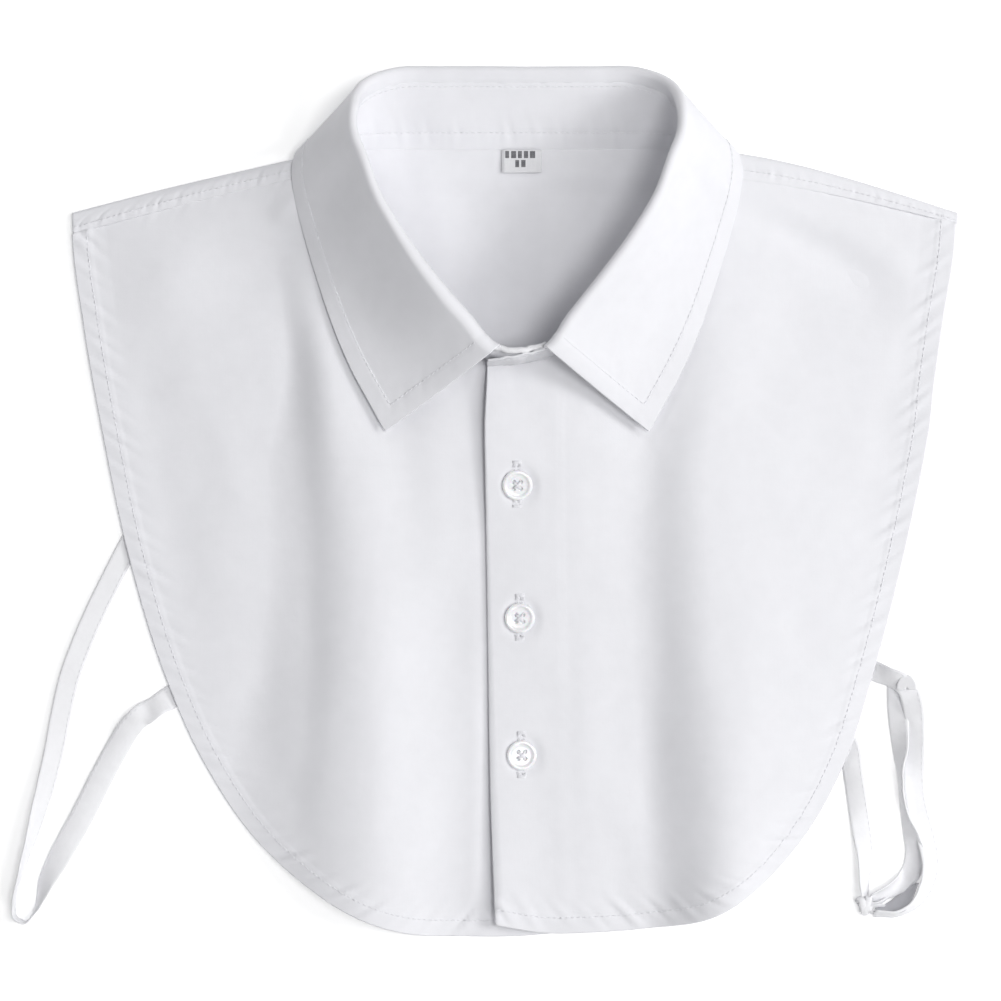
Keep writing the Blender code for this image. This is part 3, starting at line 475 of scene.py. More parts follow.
def side_curve(side, count):
    """The bib's outline on one side, in the plan, from the shoulder tip to the bottom hem."""
    column = 1 if side < 0 else 2
    points = [(row[column], row[0], 0.0) for row in SIDES]
    points += [(x, y, 0.0) for x, y in (UNDER_HEM if side < 0 else OVER_HEM)]
    return curve(np.array(points), np.linspace(0, 1, count))[:, :2]


def shoulder_line(side):
    """Tip of one shoulder, and the way to it from the neck, in the plan."""
    tip = np.array([SIDES[0][1 if side < 0 else 2], SIDES[0][0]])
    return tip, tip - np.array([NECK_X + side * SHOULDER_ROOT[0], NECK_Y + SHOULDER_ROOT[1]])


def shoulder_frame(side):
    """Tip, direction from neck to tip and outward direction of one shoulder, in the plan."""
    tip, line = shoulder_line(side)
    along = unit(line)
    return tip, along, np.array([-along[1], along[0]]) * side


def bowed(points, side):
    """The points with the shoulder swelled out: a sine along the shoulder that fades with the depth."""
    tip, along, out = shoulder_frame(side)
    length = np.linalg.norm(shoulder_line(side)[1])
    which = 0 if side < 0 else 1
    from_tip = tip - points[..., :2]
    share = np.clip(1 - from_tip @ along / length, 0, 1)**BOW_POWER[which]
    weight = 1 - ramp(from_tip @ out, *BOW_DEPTH)
    points = points.copy()
    points[..., :2] += out * (SHOULDER_BOW[which] * np.sin(np.pi * share) * weight)[..., None]
    return points


def tip_turn(side, shares):
    """The shoulder fold at its tip: the strip in front, then half a turn down to the back."""
    tip, along, out = shoulder_frame(side)
    flat = SHOULDER_STRIP[side] - SHOWN / 2 - TIP_RADIUS
    run = shares * (flat + math.pi * TIP_RADIUS)
    angle = np.clip((run - flat) / TIP_RADIUS, 0, math.pi)
    inward = SHOWN / 2 + TIP_RADIUS + np.clip(flat - run, 0, None) - TIP_RADIUS * np.sin(angle)
    height = BACK_REST + TIP_RADIUS + TIP_RADIUS * np.cos(angle)
    return np.column_stack((tip - inward[:, None] * (out - along * STRIP_SLANT), height))


def back_outline(count):
    """The back's edge in the plan, from the right tip round the hem to the left tip."""
    right = side_curve(1, count)
    left = side_curve(-1, count)[::-1]
    points = np.vstack((right[right[:, 0] > 30], left[left[:, 0] < -30]))
    inset = BACK_INSET * ramp(-points[:, 1], -116.0, -104.0)
    points[:, 0] -= np.sign(points[:, 0]) * inset
    points[:, 1] += BACK_SHORT * ramp(-points[:, 1], -60.0, 170.0)
    return points


def back_middle(columns, turns, shares):
    """The back: lines fan out from the neck seam to the outline, and round each shoulder to the front."""
    outer = resample(back_outline(400), columns + 2)[1:-1]
    low = np.full((columns, 1), BACK_REST)
    rim = np.vstack((tip_turn(1, turns), np.hstack((outer, low)), tip_turn(-1, turns)[::-1]))
    seam_right = ring_share(SHOULDER_ROW[1], 1)
    corner_right = ring_share(CORNER_ROW, 1)
    corner_left = ring_share(CORNER_ROW, -1)
    seam_left = ring_share(SHOULDER_ROW[-1], -1)
    place = np.arange(1, columns + 1) / (columns + 1)
    at = np.concatenate((
        seam_right + (corner_right - seam_right) * turns,
        corner_right + (corner_left - corner_right) * place,
        seam_left + (corner_left - seam_left) * turns[::-1]))
    neck = ring(at)[:, :3]
    fade = np.interp(np.minimum(place, 1 - place), (0, 1 / 31, 5 / 31), (1.0, 0.8, 0.0))
    wrap = np.concatenate((np.ones(len(turns)), fade, np.ones(len(turns))))
    rows = []
    for share in shares:
        point = neck + (rim - neck) * share
        stay = 1 - ramp(NECK_Y + HALF_COLLAR[0][1] - point[:, 1], 10.5, 20.0)
        keep = wrap * (1 - share) + (1 - wrap) * stay
        point[:, 2] = rim[:, 2] + (neck[:, 2] - rim[:, 2]) * keep
        rows.append(point)
    return bowed(bowed(np.array(rows), 1), -1)


def fold_height(x, y):
    """Height that the long soft folds add to a front. Each is a raised cosine across its crest."""
    height = np.zeros_like(x)
    share = np.interp(-y, [-v for v in FOLD_Y], np.linspace(0, 1, len(FOLD_Y)))
    for places in FOLDS:
        steps = np.arange(len(FOLD_Y))
        rows = np.column_stack((steps, steps * 0, steps * 0) + places)
        drawn = curve(rows, share.ravel()).reshape(share.shape + (7,))
        crest, tall, before, after = (drawn[..., k] for k in range(3, 7))
        across = x - crest
        width = np.where(across < 0, before, after)
        height += tall * (0.5 + 0.5 * np.cos(np.pi * np.clip(across / width, -1, 1)))
    return height


def front_rim(side, u):
    """Outline of one front in the plan, from its centre front corner round to the shoulder seam."""
    tip, along, out = shoulder_frame(side)
    strip_end = tip - (out - along * STRIP_SLANT) * SHOULDER_STRIP[side]
    outline = side_curve(side, RIM_SAMPLES)[::-1]
    outline[:, 0] -= 0.9 * (side > 0) * ramp(outline[:, 1], 30.0, 50.0)
    outline = outline[outline[:, 1] < strip_end[1] - 0.4]
    outline = resample(np.vstack((outline, strip_end - along * 0.2)), RIM_SAMPLES)
    take = u**RIM_SPREAD * (RIM_SAMPLES - 1)
    return np.column_stack([np.interp(take, np.arange(RIM_SAMPLES), outline[:, i]) for i in (0, 1)])


def centre_edge(side, top, corner):
    """Centre front edge in the plan, at even steps of y from the neck to the hem corner."""
    share = np.linspace(0, 1, EDGE_SAMPLES)
    drawn = plane_curve(OVER_EDGE, EDGE_SAMPLES)
    y = top[1] + (corner[1] - top[1]) * share
    x = np.interp(-y, -drawn[:, 1], drawn[:, 0])
    if side < 0:
        x += top[0] - x[0]
        x += (corner[0] - x[-1]) * share
    else:
        x += (top[0] - x[0]) * (1 - ramp(share, 0.0, 0.12))
        x += (corner[0] - x[-1]) * ramp(share, 0.7, 1.0)
    return np.column_stack((x, y))


def front_middle(side, u, rows, inset):
    """One front: every row blends neck, outline moved in, centre edge and shoulder seam. Its height falls
    from the neck seam to its rest, with the long folds and the lap. Also gives the centre edge."""
    seam = ring_share(SHOULDER_ROW[side], side) + side * SEAM_SHARE
    centre = 1.0 - CENTRE_SHARE if side > 0 else CENTRE_SHARE
    neck = ring(centre + (seam - centre) * u)[:, :3]
    _, along, _ = shoulder_frame(side)
    rim = front_rim(side, u)
    heading = unit(np.gradient(rim, axis=0))
    inward = np.column_stack((-heading[:, 1], heading[:, 0])) * side
    inward[u > 0.985] = inward[np.searchsorted(u, 0.985) - 1]
    corner_turn = ramp(u, 0.965, 1.0)[:, None]
    inward = unit(inward * (1 - corner_turn) - along * corner_turn)
    edge = centre_edge(side, neck[0], (OVER_HEM if side > 0 else UNDER_HEM)[-1])
    edge_share = np.linspace(0, 1, EDGE_SAMPLES)
    flat = neck[:, :2]
    across = u[:, None]
    plan = np.zeros((len(rows), len(u), 2))
    for i, v in enumerate(rows):
        goal = rim + inward * inset[i]
        goal[0, 0] = np.interp(1 - inset[i] / EDGE_LENGTH, edge_share, edge[:, 0])
        goal[-1] = rim[-1] - along * inset[i]
        down = v * (1 - inset[i] / EDGE_LENGTH)
        left = np.array([np.interp(down, edge_share, edge[:, k]) for k in (0, 1)])
        right = flat[-1] + (goal[-1] - flat[-1]) * v
        corners = (1 - across) * ((1 - v) * flat[0] + v * goal[0])
        corners = corners + across * ((1 - v) * flat[-1] + v * goal[-1])
        plan[i] = (1 - v) * flat + v * goal + (1 - across) * left + across * right - corners

    x = plan[:, :, 0]
    y = plan[:, :, 1]
    v = rows[:, None]
    shoulder = ramp(u[None, :], 0.8, 1.0)
    rest = FRONT_REST + (BACK_REST + 2 * TIP_RADIUS - FRONT_REST) * shoulder
    fall = 0.25 * (1 - v) + 0.75 * (1 - v)**4
    keep = fall * (1 - shoulder) + (1 - v) * shoulder
    height = rest + (neck[None, :, 2] - rest) * keep
    height += fold_height(x, y) * (1 - shoulder) * ramp(v, 0.08, 0.4)
    lift = OVER_LIFT if side > 0 else UNDER_LIFT
    lap = 1 - ramp(np.abs(x - LAP_MIDDLE), LAP_NEAR, LAP_FAR)
    height += lift * lap * ramp(v, 0.0, 0.05)
    return bowed(np.dstack((plan, height)), side), edge


def mesh_of(name, points, faces, uv=None):
    """A smooth mesh from arrays of points in millimetres and four-cornered faces, facing outwards."""
    first, second, third, fourth = (points[faces[:, k]] for k in range(4))
    volume = np.sum(first * (np.cross(second, third) + np.cross(third, fourth)))
    if volume < 0:
        faces = faces[:, ::-1]
    mesh = bpy.data.meshes.new(name)
    mesh.vertices.add(len(points))
    mesh.vertices.foreach_set("co", (points * MM).astype(np.float32).ravel())
    mesh.loops.add(faces.size)
    mesh.loops.foreach_set("vertex_index", faces.astype(np.int32).ravel())
    mesh.polygons.add(len(faces))
    mesh.polygons.foreach_set("loop_start", np.arange(0, faces.size, 4, dtype=np.int32))
    mesh.update(calc_edges=True)
    mesh.shade_smooth()
    if uv is not None:
        layer = mesh.uv_layers.new(name="cloth")
        layer.data.foreach_set("uv", (uv[faces.ravel()] * MM).astype(np.float32).ravel())
    mesh.validate()
    return mesh


def add_piece(name, mesh, material, node=None):
    """Puts a finished mesh in the scene, on the one body, with its material."""
    mesh.materials.append(material)
    item = bpy.data.objects.new(name, mesh)
    bpy.context.scene.collection.objects.link(item)
    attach(item, "root")
    if node:
        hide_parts(node)
    return item


def full_turn(count):
    """Even angles of a full turn, without the last, which is the first again."""
    return np.linspace(0, 2 * np.pi, count, endpoint=False)


def closed(index):
    """A grid of vertex numbers with its first column again after its last, so that it closes round."""
    return np.concatenate((index, index[..., :1]), axis=-1)


def grid_faces(index):
    """Four-cornered faces of a grid of vertex numbers."""
    corners = (index[:-1, :-1], index[1:, :-1], index[1:, 1:], index[:-1, 1:])
    return np.stack([c.ravel() for c in corners], axis=1)


def cloth_mesh(name, middle, thick, uv=None):
    """A closed cloth wall: the middle surface moved half the thickness both ways along its normals, and
    joined round its border by a third line of points that stands out, so the edge is round."""
    normal = surface_normals(middle)
    rows, columns = middle.shape[:2]
    index = np.arange(rows * columns).reshape(rows, columns)
    count = index.size
    border = np.concatenate((index[0, :-1], index[:-1, -1], index[-1, :0:-1], index[:0:-1, 0]))
    inside = np.concatenate((index[1, :-1], index[:-1, -2], index[-2, :0:-1], index[:0:-1, 1]))
    flat = middle.reshape(-1, 3)
    out = unit(flat[border] - flat[inside])
    edge = flat[border] + out * thick * 0.4
    points = np.vstack(((middle + normal * thick / 2).reshape(-1, 3),
                        (middle - normal * thick / 2).reshape(-1, 3), edge))
    rim = 2 * count + np.arange(len(border))
    after = np.roll(border, -1)
    rim_after = np.roll(rim, -1)
    top = grid_faces(index)
    faces = np.vstack((
        top,
        top[:, ::-1] + count,
        np.stack((border, after, rim_after, rim), axis=1),
        np.stack((rim, rim_after, after + count, border + count), axis=1)))
    if uv is None:
        uv = middle[:, :, :2]
    flat_uv = uv.reshape(-1, 2)
    return mesh_of(name, points, faces, np.vstack((flat_uv, flat_uv, flat_uv[border])))


def cloth_piece(name, middle, thick, node=None, uv=None, material=None):
    """A cloth wall put in the scene, in the white cotton where no other material is given."""
    return add_piece(name, cloth_mesh(name, middle, thick, uv), material or COTTON, node)


# A thread: points along a stitch, points round it, and the faces that close its two ends
THREAD_ALONG = 5
THREAD_ROUND = 6
FIRST_CAP = ((0, 1, 2, 3), (0, 3, 4, 5))
LAST_CAP = ((3, 2, 1, 0), (5, 4, 3, 0))
BAND_ROUND = 12        # and the points round a flat band


def sewn_thread(name, path, up, pitch=2.5, radius=0.16, gap=0.14, lift=0.1):
    """A row of stitches along a path: each is a thread six points round and five along, that comes out of
    the cloth, bows over it as half a sine and goes in again."""
    along = travelled(path)
    count = max(2, int(along[-1] / pitch))
    start = np.arange(count) * along[-1] / count
    length = along[-1] / count * (1 - gap)
    share = np.linspace(0, 1, THREAD_ALONG)
    place = start[:, None] + share[None, :] * length
    centre = np.stack([np.interp(place, along, path[:, k]) for k in range(3)], axis=2)
    lifted = np.stack([np.interp(place, along, up[:, k]) for k in range(3)], axis=2)
    lifted = unit(lifted)
    ahead = unit(np.gradient(centre, axis=1))
    side = unit(np.cross(ahead, lifted))
    bow = radius * (2.2 * np.sin(np.pi * share) - 1.2) + lift
    centre = centre + lifted * bow[None, :, None]
    turn = full_turn(THREAD_ROUND)
    fat = radius * (0.55 + 0.45 * np.sin(np.pi * share))
    ring_points = (centre[:, :, None, :]
                   + fat[None, :, None, None] * (np.cos(turn)[:, None] * side[:, :, None, :]
                                                 + np.sin(turn)[:, None] * lifted[:, :, None, :]))
    points = ring_points.reshape(-1, 3)
    index = np.arange(count * THREAD_ALONG * THREAD_ROUND).reshape(count, THREAD_ALONG, THREAD_ROUND)
    wrapped = closed(index)
    corners = (wrapped[:, :-1, :-1], wrapped[:, 1:, :-1], wrapped[:, 1:, 1:], wrapped[:, :-1, 1:])
    faces = np.stack(corners, axis=-1)
    caps = [index[:, 0, cap] for cap in FIRST_CAP] + [index[:, -1, cap] for cap in LAST_CAP]
    faces = np.vstack([faces.reshape(-1, 4)] + caps)
    return add_piece(name, mesh_of(name, points, faces), THREAD)


def feed(tree, socket, value):
    """Gives a socket a number, or the output of another node."""
    if isinstance(value, (int, float)):
        socket.default_value = value
    else:
        tree.links.new(value, socket)


def math_node(tree, operation, first, second=0.5, third=0.5):
    """A Math node, whose inputs are numbers or the outputs of other nodes."""
    node = tree.nodes.new("ShaderNodeMath")
    node.operation = operation
    for socket, value in zip(node.inputs, (first, second, third)):
        feed(tree, socket, value)
    return node.outputs[0]


def noise_node(tree, position, scale, detail, roughness=0.5):
    """Value of a Noise Texture at a position."""
    node = tree.nodes.new("ShaderNodeTexNoise")
    node.inputs["Detail"].default_value = detail
    node.inputs["Roughness"].default_value = roughness
    feed(tree, node.inputs["Scale"], scale)
    tree.links.new(position, node.inputs["Vector"])
    return node.outputs["Fac"]


def new_group(name, *numbers):
    """A shader node group that takes a position and the named numbers, and gives a height and a tone.
    Also gives the nodes at its two ends."""
    group = bpy.data.node_groups.new(name, "ShaderNodeTree")
    group.interface.new_socket("Position", in_out="INPUT", socket_type="NodeSocketVector")
    for number in numbers:
        group.interface.new_socket(number, in_out="INPUT", socket_type="NodeSocketFloat")
    for result in ("Height", "Tone"):
        group.interface.new_socket(result, in_out="OUTPUT", socket_type="NodeSocketFloat")
    return group, group.nodes.new("NodeGroupInput"), group.nodes.new("NodeGroupOutput")


def plain_weave_group():
    """A plain weave: sines across and along the cloth, multiplied, for the threads, and two stretched
    noises for threads that are thicker in places."""
    group, inside, outside = new_group("plain_weave", "Threads", "Slub")
    split = group.nodes.new("ShaderNodeSeparateXYZ")
    group.links.new(inside.outputs["Position"], split.inputs[0])
    waves = []
    for axis in (0, 1):
        turn = math_node(group, "MULTIPLY", split.outputs[axis], inside.outputs["Threads"])
        waves.append(math_node(group, "SINE", math_node(group, "MULTIPLY", turn, math.pi)))
    threads = math_node(group, "MULTIPLY", waves[0], waves[1])
    slubs = []
    for wide, long in ((2600.0, 90.0), (90.0, 2600.0)):
        place = group.nodes.new("ShaderNodeMapping")
        place.inputs["Scale"].default_value = (wide, long, 1.0)
        group.links.new(inside.outputs["Position"], place.inputs["Vector"])
        slubs.append(math_node(group, "SUBTRACT", noise_node(group, place.outputs[0], 1.0, 1.0), 0.5))
    both = math_node(group, "ADD", slubs[0], slubs[1])
    uneven_threads = math_node(group, "MULTIPLY", both, inside.outputs["Slub"])
    height = math_node(group, "MULTIPLY_ADD", threads, 0.5, uneven_threads)
    group.links.new(height, outside.inputs["Height"])
    tone = math_node(group, "MULTIPLY_ADD", threads, 0.15, uneven_threads)
    group.links.new(tone, outside.inputs["Tone"])
    return group


def rumple_group():
    """Soft unevenness of handled cloth: two sizes of noise, for a low height and a faint tone."""
    group, inside, outside = new_group("rumple", "Size")
    parts = []
    for scale, detail in ((45.0, 2.0), (160.0, 3.0)):
        size = math_node(group, "MULTIPLY", inside.outputs["Size"], scale)
        parts.append(noise_node(group, inside.outputs["Position"], size, detail, 0.45))
    height = math_node(group, "MULTIPLY_ADD", parts[1], 0.3, parts[0])
    group.links.new(height, outside.inputs["Height"])
    tone = math_node(group, "SUBTRACT", math_node(group, "ADD", parts[0], parts[1]), 1.0)
    group.links.new(tone, outside.inputs["Tone"])
    return group


def place_group(tree, group, **values):
    """A shader group in a material, with its own values; a value may be another node's output."""
    node = tree.nodes.new("ShaderNodeGroup")
    node.node_tree = group
    for name, value in values.items():
        feed(tree, node.inputs[name], value)
    return node


def bump(tree, height, distance, strength=1.0, normal=None):
    """A Bump node, on top of another one if that is given."""
    node = tree.nodes.new("ShaderNodeBump")
    node.inputs["Distance"].default_value = distance
    node.inputs["Strength"].default_value = strength
    tree.links.new(height, node.inputs["Height"])
    if normal is not None:
        tree.links.new(normal, node.inputs["Normal"])
    return node.outputs[0]


def toned(tree, colour, tone, amount):
    """The colour, a little lighter and darker as the tone goes up and down."""
    mix = tree.nodes.new("ShaderNodeMix")
    mix.data_type = "RGBA"
    mix.inputs["A"].default_value = tuple(c * (1 - amount) for c in colour) + (1.0,)
    mix.inputs["B"].default_value = tuple(min(1.0, c * (1 + amount)) for c in colour) + (1.0,)
    tree.links.new(math_node(tree, "ADD", tone, 0.5), mix.inputs["Factor"])
    return mix.outputs["Result"]


def new_material(name, settings):
    """A material with its node tree and its shader, whose named sockets get their settings."""
    material = bpy.data.materials.new(name)
    material.use_nodes = True
    shader = material.node_tree.nodes["Principled BSDF"]
    for socket, value in settings.items():
        shader.inputs[socket].default_value = value
    return material, material.node_tree, shader


def rough_tone(tree, shader, tone, share, roughness):
    """Roughness that goes up and down with the tone."""
    tree.links.new(math_node(tree, "MULTIPLY_ADD", tone, share, roughness), shader.inputs["Roughness"])


def cotton(name, colour, threads=3200.0, slub=0.6, rumple=1.0, weave_depth=0.00003, roughness=0.82):
    """White cotton: plain weave on the cloth's own map, soft unevenness, a little sheen."""
    material, tree, shader = new_material(
        name, {"Specular IOR Level": 0.25, "Sheen Weight": 0.12, "Sheen Roughness": 0.5})
    uv = tree.nodes.new("ShaderNodeUVMap")
    uv.uv_map = "cloth"
    place = tree.nodes.new("ShaderNodeTexCoord")
    weave = place_group(tree, WEAVE, Position=uv.outputs[0], Threads=threads, Slub=slub)
    soft = place_group(tree, RUMPLE, Position=place.outputs["Object"], Size=rumple)
    tone = math_node(tree, "MULTIPLY_ADD", weave.outputs["Tone"], 0.5, soft.outputs["Tone"])
    tree.links.new(toned(tree, colour, tone, 0.025), shader.inputs["Base Color"])
    normal = bump(tree, soft.outputs["Height"], 0.0008, 0.45)
    normal = bump(tree, weave.outputs["Height"], weave_depth, 0.6, normal)
    tree.links.new(normal, shader.inputs["Normal"])
    rough_tone(tree, shader, soft.outputs["Tone"], 0.1, roughness)
    return material


def thread_paint(name, colour):
    """Sewing thread: a plain white, faintly uneven in tone and surface."""
    material, tree, shader = new_material(name, {"Sheen Weight": 0.2})
    place = tree.nodes.new("ShaderNodeTexCoord")
    soft = place_group(tree, RUMPLE, Position=place.outputs["Object"], Size=30.0)
    tree.links.new(toned(tree, colour, soft.outputs["Tone"], 0.08), shader.inputs["Base Color"])
    tree.links.new(bump(tree, soft.outputs["Height"], 0.00005), shader.inputs["Normal"])
    rough_tone(tree, shader, soft.outputs["Tone"], 0.2, 0.6)
    return material


def button_paint():
    """Shirt button resin: milky white with faint cloudy streaks, glossy under a thin clear skin."""
    material, tree, shader = new_material("button_resin_look", {
        "Coat Weight": 0.6, "Coat Roughness": 0.08, "Subsurface Weight": 0.15, "Subsurface Scale": 0.001})
    place = tree.nodes.new("ShaderNodeTexCoord")
    streak = tree.nodes.new("ShaderNodeMapping")
    streak.inputs["Scale"].default_value = (1.0, 3.5, 1.0)
    streak.inputs["Rotation"].default_value = (0.0, 0.0, 0.6)
    tree.links.new(place.outputs["Object"], streak.inputs["Vector"])
    soft = place_group(tree, RUMPLE, Position=streak.outputs[0], Size=4.0)
    tree.links.new(toned(tree, (0.84, 0.84, 0.86), soft.outputs["Tone"], 0.06), shader.inputs["Base Color"])
    rough_tone(tree, shader, soft.outputs["Tone"], 0.15, 0.28)
    return material


def label_paint():
    """Woven tab: white ground with a row of small dark blocks over a shorter one, both in its own map."""
    material, tree, shader = new_material("label_look", {"Roughness": 0.8})
    uv = tree.nodes.new("ShaderNodeUVMap")
    uv.uv_map = "cloth"
    split = tree.nodes.new("ShaderNodeSeparateXYZ")
    tree.links.new(uv.outputs[0], split.inputs[0])
    mask = None
    for left, right, top, bottom in LABEL_BARS:
        inside = [math_node(tree, "COMPARE", split.outputs[axis], (start + stop) / 2 * MM,
                            (stop - start) / 2 * MM)
                  for axis, start, stop in ((0, left, right), (1, top, bottom))]
        part = math_node(tree, "MULTIPLY", inside[0], inside[1])
        mask = part if mask is None else math_node(tree, "MAXIMUM", mask, part)
    weave = place_group(tree, WEAVE, Position=uv.outputs[0], Threads=2600.0, Slub=0.8)
    mix = tree.nodes.new("ShaderNodeMix")
    mix.data_type = "RGBA"
    mix.inputs["B"].default_value = (0.06, 0.06, 0.07, 1.0)
    tree.links.new(toned(tree, (0.74, 0.74, 0.76), weave.outputs["Tone"], 0.08), mix.inputs["A"])
    worn = math_node(tree, "MULTIPLY_ADD", weave.outputs["Tone"], 0.5, 0.85)
    tree.links.new(math_node(tree, "MULTIPLY", mask, worn), mix.inputs["Factor"])
    tree.links.new(mix.outputs["Result"], shader.inputs["Base Color"])
    tree.links.new(bump(tree, weave.outputs["Height"], 0.00006), shader.inputs["Normal"])
    return material


# Dark blocks woven in the tab, from its upper left corner
#    left  right  top   bottom
LABEL_BARS = (
    (1.4, 3.0, 0.4, 3.4),
    (3.8, 6.0, 0.4, 3.4),
    (6.7, 8.4, 0.4, 3.4),
    (9.2, 11.0, 0.4, 3.4),
    (11.7, 13.9, 0.4, 3.4),
    (5.6, 7.2, 4.2, 7.2),
    (8.1, 9.9, 4.2, 7.2),
)


def denser(start, stop, count, power=1.0):
    """Steps from start to stop, closer together at the start where the power is above 1."""
    return start + (stop - start) * np.linspace(0, 1, count)**power


def make_stand():
    """The stand, with a puckered foot seam, a pulled-in leaf seam and the wavy top of its front ends."""
    tight = denser(0, 0.02, 16, 1.3)
    at = np.concatenate((tight[:-1], np.linspace(0.02, 0.98, 400), 1 - tight[-2::-1]))
    shares = np.concatenate((denser(0, 0.3, 12)[:-1], np.linspace(0.3, 0.88, 14), np.linspace(0.9, 1, 8)))
    middle = stand_middle(at, shares)
    normal = -surface_normals(middle)
    s = length_along(middle, 1)
    t = length_along(middle, 0)
    top = t[-1:] - t
    ends = np.minimum(at, 1 - at)[None, :]
    front = 1 - ramp(ends, 0.03, 0.09)
    swell = (ramp(at, 0.006, 0.028) * (1 - ramp(at, 0.05, 0.08)))[None, :]
    swell = swell * ramp(top, 0.0, 4.5) * ramp(t, 0, 8.0)
    # Puckers and drawn-in stitch lines at foot and top, then waves at the front ends
    height = pucker("stand_foot", s, t - 6.8, 1.0) - 0.22 * bell(t - FOOT_STITCH, 0.9)
    height += pucker("stand_top", s, top, 2.0) - 0.3 * bell(top, 1.0) - 0.16 * bell(top - 1.6, 0.6)
    height += front * 0.45 * uneven(s + 0.3 * t, 6.5, 3.0) * ramp(t, 6.0, 22.0) - 3.0 * swell
    middle = middle + normal * height[:, :, None]
    middle[:, :, 2] += front * 0.6 * uneven(s, 7.0, 5.0) * ramp(t, 14.0, 28.0)
    piece = cloth_piece("stand", middle, SHOWN, "collar_stand", np.dstack((s, t)))
    inner = (at > 0.09) & (at < 0.93)
    outer = (at > 0.925) & (at < 0.997)
    for name, part, face, level in (("stand_foot_stitches", inner, 1, t * 0 + FOOT_STITCH),
                                    ("stand_top_stitches", inner, 1, t[-1] - 1.7),
                                    ("stand_front_stitches", outer, -1, t * 0 + 2.0),
                                    ("stand_lip_stitches", outer, -1, t[-1] - 2.2)):
        up = face * normal[:, part]
        values = (level - t)[:, part]
        path = line_at(middle[:, part] + up * SHOWN / 2, values, 0.0)
        sewn_thread(name, path, line_at(up, values, 0.0))
    # The rolled upper lip of the end that laps under
    rolled = at < 0.085
    path = resample(middle[-1, rolled] - normal[-1, rolled] * 0.3 + (0.0, 0.0, 0.5), 90)
    path[:, 2] += 0.06 * uneven(length_along(path[None], 1)[0], 9.0, 2.0)
    lip = band(path, 2.2, 2.5, np.tile((0.0, 0.0, 1.0), (90, 1)))
    add_piece("stand_lip", joined("stand_lip", [lip]), TAPE_PLAIN)
    return piece


def make_leaf():
    """The leaf, with its edge band of three layers, a stitch line drawn in and faint puckers along it."""
    start = COLLAR_KNOTS[LEAF_ENDS]
    end = COLLAR_KNOTS[-1 - LEAF_ENDS]
    span = end - start
    tight = denser(0, 0.03, 16, 1.4)
    at = start + span * np.concatenate((tight[:-1], np.linspace(0.03, 0.97, 330), 1 - tight[-2::-1]))
    outer = np.concatenate((np.linspace(0.02, 0.8, 34), np.linspace(0.815, 0.985, 14), (0.993, 1.0)))
    middle = leaf_middle(at, np.linspace(0, 0.9, 7), np.linspace(0, 1, 15), outer)
    normal = -surface_normals(middle)
    s = length_along(middle, 1)
    t = length_along(middle, 0)
    edge = t[-1:] - t
    right_end = s[:, -1:] - s
    side = np.minimum(s, right_end)
    away = np.minimum(edge, side)
    s_fold = s[FOLD_ROW:FOLD_ROW + 1]
    # The thicker band inside the edges and its stitch line, puckers, the seam with the stand, soft waves
    height = 0.22 * (1 - ramp(away, COLLAR_STITCH - 0.6, COLLAR_STITCH + 1.0))
    height -= 0.16 * bell(away - COLLAR_STITCH, 0.7)
    height += pucker("leaf", s_fold, edge - COLLAR_STITCH, 4.0) + pucker("leaf", t, side - COLLAR_STITCH, 6.0)
    height -= 0.3 * bell(t, 1.0)
    height += 0.35 * uneven(s_fold, 90.0, 2.0) * np.sin(np.pi * np.clip(t / t[-1:], 0, 1))
    middle = middle + normal * height[:, :, None]
    middle[:, :, 2] = np.maximum(middle[:, :, 2], LEAF_SHOWN / 2 + 0.4)
    piece = cloth_piece("leaf", middle, LEAF_SHOWN, "collar_leaf", np.dstack((s, t)))

    # The stitches run down one point, along the outer edge and up the other point. A line's last column
    # says how far inside the edges of the others it is.
    on_top = middle + normal * LEAF_SHOWN / 2
    below = slice(FOLD_ROW + 1, None)
    across = np.dstack((on_top, normal, edge))[below].transpose(1, 0, 2)
    lines = (line_at(across, -s[below].T, -COLLAR_STITCH),
             line_at(np.dstack((on_top, normal, side)), edge, COLLAR_STITCH),
             line_at(across, right_end[below].T, COLLAR_STITCH)[::-1])
    path = np.vstack([line[line[:, 6] > COLLAR_STITCH] for line in lines])
    sewn_thread("leaf_stitches", path[:, :3], path[:, 3:6])
    return piece


def line_at(grid, values, level):
    """Points where a value that falls along each column of a grid passes a level, by straight lines."""
    index = np.maximum(np.argmax(values <= level, axis=0), 1)
    column = np.arange(grid.shape[1])
    before = values[index - 1, column]
    after = values[index, column]
    share = ((before - level) / (before - after))[:, None]
    return grid[index - 1, column] * (1 - share) + grid[index, column] * share


def strip_up(normal):
    """The normals turned so that they point up."""
    return normal * np.where(normal[:, 2:] < 0, -1.0, 1.0)


